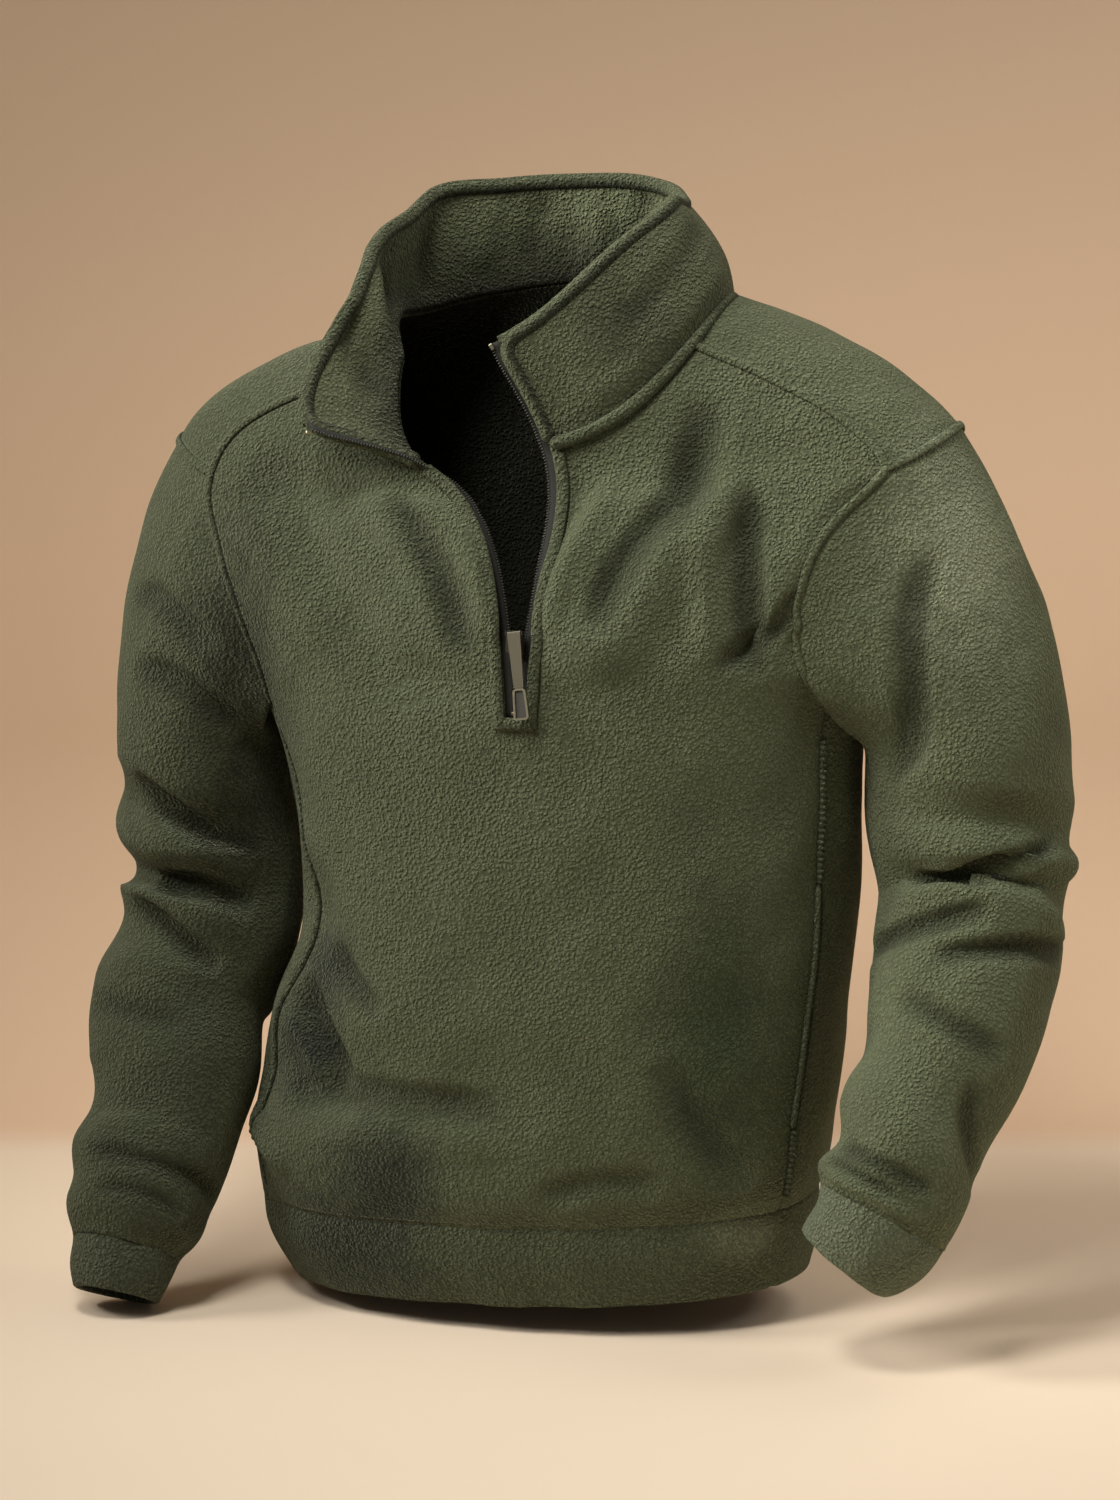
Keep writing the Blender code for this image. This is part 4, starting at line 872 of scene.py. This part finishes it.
for side, name in SIDES.items():
    turns = np.radians(cuff_angles[side])
    rows = np.linspace(CUFF_SEAM, len(ARM[side]["x"]) - 1, BAND_ROWS * 2 + 1)
    grid = np.array([arm_ring(side, np.full(len(turns), at), turns) for at in rows])
    normals = grid_normals(grid, closed=True)
    across = np.linspace(0, 1, len(rows))[:, None]
    puff = CUFF_PUFF * np.sin(math.pi * across) + undulation(grid * 2) * 0.8
    rows, outward = doubled(raised(grid, normals, puff), normals)
    piece = cloth(f"fleece_cuff_{name}", ringed(rows), ringed(outward), CUFF_PAINTED_LIGHT_LOOK)
    dressed(piece, [f"cuff_{name}"])


# ================ collar
# A stand collar of two layers. Its edge is turned and stitched, which leaves a soft roll along
# the top and down both ends of the zip.
COLLAR = table("""
turn lean_x lean_y  rise bulge
 110 -0.085 -0.024 0.023 0.004
 140 -0.043 -0.006 0.038 0.005
 165 -0.017      0 0.054 0.005
 195 -0.006 -0.010 0.069 0.006
 222 -0.014 -0.009 0.079 0.004
 245 -0.006      0 0.077 0.004
 270      0  0.003 0.074 0.004
 295 -0.012  0.002 0.072 0.004
 335 -0.032 -0.008 0.066 0.006
 360 -0.040 -0.006 0.066 0.008
 385 -0.031 -0.002 0.077 0.008
 410 -0.038 -0.001 0.084 0.006
 440 -0.045 -0.007 0.073 0.003
""")
# Creases of the collar: places are a turn round the neck and a share of its height.
COLLAR_CREASES = table("""
 a1   b1  a2   b2  a3   b3 reach steep    lift
150 0.10 156 0.50 165 0.85 0.013   0.2 -0.0060
128 0.15 134 0.55 146 0.90 0.014     0  0.0050
170 0.10 172 0.50 182 0.80 0.012     0  0.0045
205 0.10 208 0.45 214 0.80 0.014   0.2  0.0040
232 0.20 236 0.50 238 0.85 0.014     0 -0.0055
250 0.15 252 0.50 258 0.85 0.012     0  0.0045
268 0.10 272 0.50 268 0.85 0.013   0.2 -0.0060
283 0.15 286 0.50 292 0.90 0.012     0  0.0050
302 0.15 300 0.50 306 0.85 0.014     0 -0.0045
350 0.70 385 0.55 415 0.45 0.014   0.2 -0.0035
365 0.25 400 0.20 430 0.22 0.014     0  0.0030
""")
CORNER, CORNER_IN, CORNER_REACH = 6, 0.0022, 0.010  # how the two front corners are rounded
SHADE_TOP, SHADE_CURVE = 0.62, 0.7  # painted shade inside the collar, below this share of its height and darkest at the bottom
# painted shade over the collar's outer face, and the share of the crease shade that the collar takes
SHADE_OUTSIDE, COLLAR_CREASE_SHADE = 0.40, 0.6


def collar_grid(seam, turn):
    form = curves(COLLAR, turn)
    lean = np.stack([form["lean_x"], form["lean_y"], form["rise"]], axis=1)
    bulge = unit(np.cross(lean, unit(np.gradient(seam, axis=0)))) * form["bulge"][:, None]
    steps = np.linspace(0, 1, COLLAR_ROWS + 1)
    return np.array([seam + lean * t + bulge * 4 * t * (1 - t) for t in steps])


right_neck, left_neck = (halves[side][-1, SHOULDER_COLUMNS:] for side in (RIGHT, LEFT))
skipped = UNDERARM_COLUMNS + SHOULDER_COLUMNS
back_neck = back_places[-1, skipped:-skipped]
neck_places = np.concatenate([right_neck[::-1], back_neck[-2:0:-1], left_neck])
neck_turn = np.degrees(np.unwrap(np.radians(neck_places[:, 0])))
neck_seam, neck_normals = worn(neck_places)
collar_base = collar_grid(neck_seam, neck_turn)
collar_normals = grid_normals(collar_base, closed=False)
height = np.linspace(0, 1, COLLAR_ROWS + 1)


def on_collar(turn, share):
    return on_grid(collar_base, height, neck_turn, share, turn)


collar_lift = crease_lift(collar_base, collar_normals, COLLAR_CREASES, on_collar)
collar_lift = collar_lift + undulation(collar_base) * 1.4
collar_points = raised(collar_base, collar_normals, collar_lift)
for side, end, inside in ((LEFT, -1, -1 - CORNER), (RIGHT, 0, CORNER)):
    eased(front_points, collar_points, side)
    corner = collar_points[-1, end].copy()
    near = np.exp(-(np.linalg.norm(collar_points - corner, axis=2) / CORNER_REACH) ** 2)
    collar_points += unit(collar_points[-1 - CORNER, inside] - corner) * CORNER_IN * near[..., None]
# painted shade in the front's creases
front = cloth(
    "fleece_front", front_points, front_normals, FLEECE_LOOK, FLEECE, front_cut, crease_painted_shade(front_lift)
)
dressed(front, ["front_lower", "front_upper_left", "front_upper_right"])
rows, outward = doubled(collar_points, collar_normals)
# painted shade: inside the collar towards the neck, over its outer face, and in its creases
inner_painted_shade = np.clip((SHADE_TOP - height[::-1]) / SHADE_TOP, 0, 1) ** SHADE_CURVE
shade = np.full(len(rows), SHADE_OUTSIDE)
shade[-1 - len(height) : -1] = inner_painted_shade
outside, inside = crease_painted_shade(collar_lift), crease_painted_shade(-collar_lift)
fold = np.zeros((len(rows) - 2 * len(height) - 1, rows.shape[1]))
collar_crease_shade = np.concatenate([outside, fold, inside[::-1], outside[:1]]) * COLLAR_CREASE_SHADE
collar = cloth("fleece_collar", rows, outward, COLLAR_PAINTED_LIGHT_LOOK, shade=shade[:, None] + collar_crease_shade)
dressed(collar, ["collar"])


# ================ hem band
# A doubled band of fleece sewn on round the hem, folded at its lower edge and drawn in a little
# there.
HEM_BAND = table("""
 drop scale shift
    0 1.000     0
0.020 0.990 0.002
0.055 0.935 0.007
""")
HEM_PUFF = 0.0016

hem_seam = np.concatenate([front_points[0], back_points[0][1:-1]])
hem_middle = np.array([TORSO["x"][0], TORSO["y"][0], 0])
band = []
for drop in np.linspace(0, HEM_BAND["drop"][-1], BAND_ROWS + 1):
    form = curves(HEM_BAND, drop)
    drawn = (hem_seam - hem_middle) * [form["scale"], form["scale"], 1]
    band.append(hem_middle + drawn + [form["shift"], 0, -drop])
band = np.array(band)
band_normals = grid_normals(band, closed=True)
across = np.linspace(0, 1, BAND_ROWS + 1)[:, None]
puff = HEM_PUFF * np.sin(math.pi * across) + undulation(band) * across
rows, outward = doubled(raised(band, band_normals, puff), band_normals)
hem_band = cloth("fleece_hem_band", ringed(rows), ringed(outward), TRIM_LOOK)
dressed(hem_band, ["hem_band"])


# ================ zip tapes
# A woven tape behind each edge of the zip, from the foot of the slit to the top of the collar,
# and a row of nylon teeth along it, which mesh below the slider.
TAPE, TAPE_TUCK, TAPE_EASE = 0.0009, 0.006, 4
TOOTH_PITCH = 0.0020
TOOTH = (0.00150, 0.00066, 0.00105)  # half sizes across, along and out of the tape


def plain_material(name, colour, roughness, metallic=0.0, grain=0.0, scale=900.0):
    """A plain finish whose tone varies a little at a fine scale."""
    made, tree, shader, place = begin(name)
    noise = put(tree, "TexNoise", Vector=place, Scale=scale, Detail=2.0)
    spread = ranged(tree, noise, 0.3, 0.7, 1 - grain, 1 + grain)
    tree.links.new(mixed(tree, 1.0, srgb(colour), spread, "MULTIPLY"), shader.inputs["Base Color"])
    bump = put(tree, "Bump", Strength=0.4, Distance=0.0001, Height=noise)
    tree.links.new(bump, shader.inputs["Normal"])
    settle(shader, {"Roughness": roughness, "Metallic": metallic})
    return made


TAPE_LOOK = plain_material("woven_polyester_tape", "15160F", 0.85, grain=0.25, scale=1400.0)
TEETH_LOOK = plain_material("nylon_coil", "2E2E27", 0.40, grain=0.10)


def resampled(path, out, pitch):
    """The same path with points at an even pitch, and the directions out of the cloth there."""
    run = run_along(path)
    at = np.linspace(0, run[-1], max(2, round(run[-1] / pitch) + 1))
    return taken(path, run, at), unit(taken(out, run, at))


def beads(name, points, along, out, half_sizes, look):
    """Small rounded beads, each lying along its own direction."""
    mesh = bmesh.new()
    across = unit(np.cross(along, out))
    upward = unit(np.cross(across, along))
    for place, *axes in zip(points, across, along, upward):
        turn = Matrix([axis * size for axis, size in zip(axes, half_sizes)]).transposed().to_4x4()
        turn.translation = place
        bmesh.ops.create_icosphere(mesh, subdivisions=1, radius=1, matrix=turn)
    bmesh.ops.recalc_face_normals(mesh, faces=mesh.faces)
    return shown(name, mesh, look)


def slit_edge(side):
    """The front's edge beside the slit, and the ways in over the cloth and out of it there."""
    column = front_points.shape[1] // 2 - (side < 0)
    edge = front_points[:, column]
    return edge, unit(front_points[:, column + side] - edge), front_normals[:, column]


for side, name in SIDES.items():
    end, before = (-1, -2) if side > 0 else (0, 1)
    upper = collar_points[1:, end]
    upper = upper, unit(collar_points[1:, before] - upper), collar_normals[1:, end]
    pairs = zip(slit_edge(side), upper)
    edge, into, out = (np.concatenate([low[SIDE_ROWS:], high]) for low, high in pairs)
    out = unit(out)
    into = unit(into - out * (into * out).sum(axis=1, keepdims=True))
    deep = np.full(len(edge), DOUBLED + LAYER_GAP)
    deep[:FRONT_ARM_ROWS] = FLEECE + LAYER_GAP
    even = np.ones(2 * TAPE_EASE + 1) / (2 * TAPE_EASE + 1)
    deep = np.convolve(np.pad(deep, TAPE_EASE, mode="edge"), even, mode="valid")
    behind = raised(edge, out, -deep)
    shares = np.linspace(TEETH_GAP - ZIP_HALF, TAPE_TUCK, 5)
    grid = np.stack([behind + into * near for near in shares], axis=1)
    piece = cloth(f"tape_{name}", grid, np.repeat(out[:, None], 5, axis=1), TAPE_LOOK, TAPE)
    dressed(piece, [f"zip_tape_{name}"])
    line, ways = resampled(grid[:, 0], out, TOOTH_PITCH)
    if side == RIGHT:
        line = (line[1:] + line[:-1]) / 2
        ways = unit(ways[1:] + ways[:-1])
    along = unit(np.gradient(line, axis=0))
    teeth = beads(f"teeth_{name}", line - ways * TAPE * 0.3, along, ways, TOOTH, TEETH_LOOK)
    dressed(teeth, [])


# ================ zip frame
# A strip of fleece, puffed like a welt and stitched down beside the zip, up both sides of the
# slit and square across its foot.
FRAME_WIDTH, FRAME_STAND, FOOT_STAND = 0.0085, 0.0046, 0.0050
FOOT_INTO = 0.36  # how far the foot of the frame reaches under its sides, as a share of the width
STRIP_SUNK, STRIP_SHORT = 0.0008, 2
FOOT_PAINTED_SHADE = 0.80  # painted shade in the groove at the foot of a strip
WELT_PITCH = 0.0022


def welt(name, path, out, half_width, height, look, sunk=0.0, sides=12, taper=2, crown=None):
    """A soft raised strip along a path on the cloth, with rounded ends. sunk is how deep it sits.

    It has painted shade towards its foot, away from its crown, which is outwards or, on a turned edge, this
    way.
    """
    count = len(path)
    along = unit(np.gradient(path, axis=0))
    side = unit(np.cross(along, out))
    upward = unit(np.cross(side, along))
    end = np.minimum(np.arange(count), np.arange(count)[::-1])
    full = np.sqrt(np.clip((end + 0.05) / taper, 0, 1)) if taper else np.ones(count)
    middle = path + upward * np.broadcast_to(height / 2 - sunk, count)[:, None]
    turns = np.linspace(0, 2 * math.pi, sides + 1)
    peak = math.pi / 2
    if crown is not None:
        peak = 0.0 if side[count // 2] @ np.array(crown) > 0 else math.pi
    # painted shade in the groove at the foot of the welt
    shade = FOOT_PAINTED_SHADE * np.clip((0.40 - np.cos(turns - peak)) / 0.8, 0, 1)
    grid = []
    for turn in turns:
        over = side * (half_width * full * math.cos(turn))[:, None]
        grid.append(middle + over + upward * (height / 2 * full * math.sin(turn))[:, None])
    grid = np.stack(grid, axis=1)
    return cloth(name, grid, grid - middle[:, None], look, shade=np.tile(shade, (count, 1)))


def joined(name, pieces):
    """One object from several meshes that share a material."""
    mesh = bmesh.new()
    for piece in pieces:
        mesh.from_mesh(piece.data)
    made = shown(name, mesh, pieces[0].data.materials[0])
    for piece in pieces:
        bpy.data.objects.remove(piece)
    return made


def strip(path, ways, stand):
    return welt("strip", path, ways, FRAME_WIDTH / 2, stand, TRIM_LOOK, sunk=STRIP_SUNK, taper=1)


strips, feet = [], []
for side in SIDES:
    edge, into, out = slit_edge(side)
    step = np.linalg.norm(edge[SIDE_ROWS] - edge[SIDE_ROWS - 1])
    foot_row = SIDE_ROWS - round(FRAME_WIDTH / step)
    rows = slice(foot_row, len(edge) - STRIP_SHORT)
    path, ways = resampled((edge + into * FRAME_WIDTH / 2)[rows], out[rows], WELT_PITCH)
    strips.append(strip(path, ways, FRAME_STAND))
    feet.append((path[2] + into[foot_row] * FRAME_WIDTH * FOOT_INTO, ways[2]))
foot_path, foot_ways = (blend(first, second, 18) for first, second in zip(*feet))
strips.append(strip(foot_path, unit(foot_ways), FOOT_STAND))
frame_piece = dressed(joined("fleece_zip_frame", strips), ["zip_frame"])


# ================ rolled edges and welts
# The turned edge of the collar, the roll where the collar joins the front, and the felled
# shoulder and armhole seams, each a soft ridge that is stitched down beside it.
ROLL_HALF, ROLL_THICK, ROLL_INSET, END_INSET = 0.0052, 0.0106, 0.0036, 0.0016
ROLL_SKIP = 3  # rows of the collar that the rounded corner of its roll takes up
NECK_ROLL_HALF, NECK_ROLL_HEIGHT, NECK_ROLL_SUNK = 0.0046, 0.0078, 0.0012
WELT_HALF, WELT_HEIGHT, WELT_SUNK = 0.0030, 0.0034, 0.0006

layer = collar_points - collar_normals * DOUBLED / 2
right_edge = layer[:, 0] + unit(layer[:, 1] - layer[:, 0]) * END_INSET
left_edge = layer[:, -1] + unit(layer[:, -2] - layer[:, -1]) * END_INSET
top_edge = layer[-1] + unit(layer[-2] - layer[-1]) * ROLL_INSET
up = slice(None, -ROLL_SKIP)
edge_path = np.concatenate([right_edge[up], top_edge[1:-1], left_edge[up][::-1]])
edge_out = [collar_normals[up, 0], collar_normals[-1, 1:-1], collar_normals[up, -1][::-1]]
path, ways = resampled(edge_path, np.concatenate(edge_out), WELT_PITCH)
path, ways = softened(path, 10), unit(softened(ways, 10))
collar_roll = welt(
    "collar_edge_roll", path, ways, ROLL_HALF, ROLL_THICK, TRIM_LOOK, sunk=ROLL_THICK / 2, sides=16,
    crown=(0, 0, 1),
)
dressed(collar_roll, [])

neck_out = unit(neck_normals[::-1] + collar_normals[0, ::-1])
path, ways = resampled(collar_points[0, ::-1], neck_out, WELT_PITCH)
size = np.clip(1.25 - np.linspace(0, 1, len(path)) * 2.6, 0.40, 1.0)
half, thick = NECK_ROLL_HALF * size, NECK_ROLL_HEIGHT * size
neck_roll = welt("neck_seam_roll", path, ways, half, thick, TRIM_LOOK, sunk=NECK_ROLL_SUNK)
dressed(neck_roll, [])


def shoulder_line(side):
    return worn(to_side(blend(SHOULDER_END, SHOULDER_NECK, 60), side))


def felled(path, ways, taper):
    return welt("welt", path, ways, WELT_HALF, WELT_HEIGHT, FLEECE_LOOK, sunk=WELT_SUNK, taper=taper)


for side, name in SIDES.items():
    loop, ways = (np.concatenate([column, column[:1]]) for column in sleeve_seams[side])
    welts = [felled(*resampled(loop, ways, WELT_PITCH), taper=0), felled(*shoulder_line(side), taper=1)]
    dressed(joined(f"felled_seams_{name}", welts), [])


# ================ side seams
# Overlocked side seams, corded like rope above and below a slit pocket that is left in the seam,
# with a turned lip of fleece along the pocket's front edge.
CORDS = [(-0.388, -0.290), (-0.612, -0.560)]
POCKET = (-0.560, -0.388)
ROPE_HALF, ROPE_HEIGHT, ROPE_PITCH = 0.0028, 0.0044, 0.0040
ROPE_SIZE = {LEFT: 1.0, RIGHT: 0.6}
LIP_AHEAD, LIP_HALF, LIP_HEIGHT = 0.8, 0.0024, 0.0042
GAP_BEHIND, GAP_HALF, GAP_HEIGHT = 1.0, 0.0030, 0.0012  # a strip of painted shade in the pocket's mouth, behind the seam

for side, name in SIDES.items():
    cords = []
    for low, high in CORDS:
        heights = np.arange(low, high, 0.0005)
        path, ways = worn(placed(on_side(SIDE_SEAM, side), heights))
        twist = ROPE_SIZE[side] * (1 + 0.20 * np.sin(2 * math.pi * heights / ROPE_PITCH))
        half, thick = ROPE_HALF * twist, ROPE_HEIGHT * twist
        cords.append(welt("cord", path, ways, half, thick, TRIM_LOOK, sunk=0.0008, sides=10, taper=4))
    heights = np.linspace(*POCKET, 90)
    path, ways = worn(placed(on_side(SIDE_SEAM + LIP_AHEAD, side), heights))
    cords.append(welt("lip", path, ways, LIP_HALF, LIP_HEIGHT, TRIM_LOOK, sunk=0.0004))
    dressed(joined(f"side_cords_{name}", cords), [])
    # a dark strip of painted shade in the pocket's mouth
    path, ways = worn(placed(on_side(SIDE_SEAM - GAP_BEHIND, side), heights))
    gap = welt(
        f"pocket_mouth_painted_shade_{name}", path, ways, GAP_HALF, GAP_HEIGHT, INSIDE_PAINTED_SHADE_LOOK, sunk=0.0004, taper=12
    )
    dressed(gap, [])


# ================ stitching
# Lockstitch in matching thread above the hem seam, on both sides of the felled seams, and beside
# the zip frame.
STITCH = (0.00028, 0.00125, 0.00026)  # half sizes across, along and out of the cloth
STITCH_PITCH, HEM_STITCH_UP, SEAM_STITCH_OFF = 0.0034, 0.0032, 0.0040
FRAME_STITCH_OFF = FRAME_WIDTH + 0.0012
THREAD_LOOK = plain_material("polyester_thread", "5E6249", 0.6, grain=0.05)


def beside(path, ways, distance):
    """The path moved sideways over the cloth."""
    along = unit(np.gradient(path, axis=0))
    return path + unit(np.cross(ways, along)) * distance


def surface_tree(pieces):
    """A search tree over the outer faces of some pieces."""
    corners, faces = [], []
    for piece in pieces:
        start = len(corners)
        corners.extend(vert.co.copy() for vert in piece.data.vertices)
        faces.extend([start + k for k in face.vertices] for face in piece.data.polygons)
    return BVHTree.FromPolygons(corners, faces)


def laid(path, ways, tree):
    """The nearest places on the cloth, and the directions out of it there."""
    points, outs = [], []
    for place, way in zip(path, ways):
        found, normal, _, _ = tree.find_nearest(Vector(place))
        points.append(found)
        outs.append(normal if normal.dot(Vector(way)) > 0 else -normal)
    return np.array(points), np.array(outs)


shell = surface_tree([front, back, *sleeves.values()])
lines = [worn(placed(np.linspace(0, 360, 721), HEM + HEM_STITCH_UP))]
for side in SIDES:
    for path, ways in (sleeve_seams[side], shoulder_line(side)):
        for offset in (-SEAM_STITCH_OFF, SEAM_STITCH_OFF):
            lines.append(laid(beside(path, ways, offset), ways, shell))
    edge, into, out = slit_edge(side)
    rows = slice(SIDE_ROWS - 3, len(edge) - 6)
    lines.append(laid((edge + into * FRAME_STITCH_OFF)[rows], out[rows], shell))
stitches = []
for path, ways in lines:
    path, ways = resampled(path, ways, STITCH_PITCH)
    stitches.append(beads("line", path, unit(np.gradient(path, axis=0)), ways, STITCH, THREAD_LOOK))
stitching = dressed(joined("stitching", stitches), [])


# ================ slider, pull and stops
# The metal pieces keep their solids. The slider is dark painted zinc, the tab is a satin taupe
# coating, and the ring round its dark end plate is bare metal.
def finish_nodes(look, *names):
    for name in names:
        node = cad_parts[name]
        node.data.materials.clear()
        node.data.materials.append(look)


finish_nodes(plain_material("painted_zinc", "3B382C", 0.38, 0.6, 0.08), "zip_slider")
finish_nodes(plain_material("satin_taupe_coating", "504C3C", 0.42, 0.15, 0.06), "zip_pull")
finish_nodes(
    plain_material("bare_zinc", "9A957E", 0.34, 1.0, 0.05),
    "pull_frame", "zip_bottom_stop", "zip_top_stop_left", "zip_top_stop_right",
)
finish_nodes(plain_material("moulded_insert", "2B2A22", 0.55, 0.0, 0.08), "pull_insert")


# ================ floor and light
# A plain pale paper sweep that rises close behind the pullover and is clear from behind, so that
# the back can be looked at. Five soft lamps: overhead, two narrow ones on the left, two on the right.
FLOOR = -0.6985
CAMERA_TURN, CAMERA_RISE, CAMERA_FAR = math.radians(14), math.radians(8), 2.8
TARGET = Vector((0, 0, -0.31))
FLOOR_AHEAD, WALL_BACK, SWEEP_ROUND, WALL_HIGH = -3.2, 0.74, 0.30, 3.0  # from the origin
FLOOR_PAPER, WALL_PAPER, WALL_TONE = "E2D2BC", "D8BC9F", (0.40, 0.50)


def swept(across, count):
    """The sheet of paper: flat towards the camera and curving up behind, square to the view."""
    turn = np.linspace(0, math.pi / 2, count + 1)
    bend = np.stack([np.sin(turn), 1 - np.cos(turn)], axis=1) * SWEEP_ROUND + [WALL_BACK - SWEEP_ROUND, 0]
    back, rise = np.concatenate([[[FLOOR_AHEAD, 0]], bend, [[WALL_BACK, WALL_HIGH]]]).T[..., None]
    c, s = math.cos(CAMERA_TURN), math.sin(CAMERA_TURN)
    x, y = across * c - back * s, across * s + back * c
    return np.stack(np.broadcast_arrays(x, y, rise + FLOOR), axis=-1)


paper, tree, shader, place = begin("seamless_paper")
into_view = (-math.sin(CAMERA_TURN), math.cos(CAMERA_TURN), 0)
rise = put(tree, "SeparateXYZ", place).node.outputs["Z"]
behind = put(tree, "VectorMath", place, into_view, operation="DOT_PRODUCT").node.outputs["Value"]
wall = ranged(tree, behind, *WALL_TONE, 0.0, 1.0, "SMOOTHSTEP")
# painted shade: the paper gets darker higher up
darker = ranged(tree, rise, FLOOR + 0.3, FLOOR + 1.3, 1.0, 0.55, "SMOOTHSTEP")
base = mixed(tree, 1.0, mixed(tree, wall, srgb(FLOOR_PAPER), srgb(WALL_PAPER)), darker, "MULTIPLY")
tree.links.new(base, shader.inputs["Base Color"])
settle(shader, {"Roughness": 0.9, "Specular IOR Level": 0.2})
from_behind = put(tree, "NewGeometry").node.outputs["Backfacing"]
paper_sides = put(tree, "MixShader", from_behind, shader.outputs["BSDF"], put(tree, "BsdfTransparent"))
tree.links.new(paper_sides, tree.nodes["Material Output"].inputs["Surface"])
backdrop_points = swept(np.linspace(-4, 4, 17), 24)
cloth("backdrop", backdrop_points, np.full(backdrop_points.shape, (0.0, -0.5, 1.0)), paper)


# Each lamp's place is given from the middle of the pullover: to the right of the view, towards
# the camera, and up. aim is how far right it looks, and spread is its beam in degrees.
LAMPS = {
    "side": (-1.50, 0.30, 0.90, 0.50, 3.2, 0.30, 60),
    "key": (-1.10, 1.20, 1.20, 0.50, 2.0, 0.30, 60),
    "high": (-0.50, 0.90, 1.70, 0.50, 25.0, 0.0, 180),
    "right": (1.40, 0.20, 0.90, 0.70, 6.0, 0.0, 180),
    "rim": (0.90, -0.55, 1.30, 0.60, 6.0, 0.0, 180),
}
LAMP_COLOUR, ROOM_COLOUR, ROOM_LIGHT = "FFFAF4", "F2E6D8", 0.17
scene = bpy.context.scene
view_right = Vector((math.cos(CAMERA_TURN), math.sin(CAMERA_TURN), 0))
view_front = Vector((math.sin(CAMERA_TURN), -math.cos(CAMERA_TURN), 0))
for name, (right, ahead, up, size, power, aim, spread) in LAMPS.items():
    data = bpy.data.lights.new(name, "AREA")
    data.energy = power
    data.size = size
    data.spread = math.radians(spread)
    data.color = srgb(LAMP_COLOUR)[:3]
    lamp = bpy.data.objects.new(name, data)
    lamp.location = TARGET + view_right * right + view_front * ahead + Vector((0, 0, up))
    lamp.rotation_euler = (TARGET + view_right * aim - lamp.location).to_track_quat("-Z", "Y").to_euler()
    scene.collection.objects.link(lamp)

world = bpy.data.worlds.new("room")
scene.world = world
world.use_nodes = True
settle(world.node_tree.nodes["Background"], {"Color": srgb(ROOM_COLOUR), "Strength": ROOM_LIGHT})
scene.view_settings.view_transform = "Standard"

back_way = view_front * math.cos(CAMERA_RISE) + Vector((0, 0, math.sin(CAMERA_RISE)))
lens = bpy.data.cameras.new("camera")
lens.lens = 96
lens.sensor_width = 36
camera = bpy.data.objects.new("camera", lens)
camera.location = TARGET + back_way * CAMERA_FAR
camera.rotation_euler = back_way.to_track_quat("Z", "Y").to_euler()
scene.collection.objects.link(camera)
scene.camera = camera
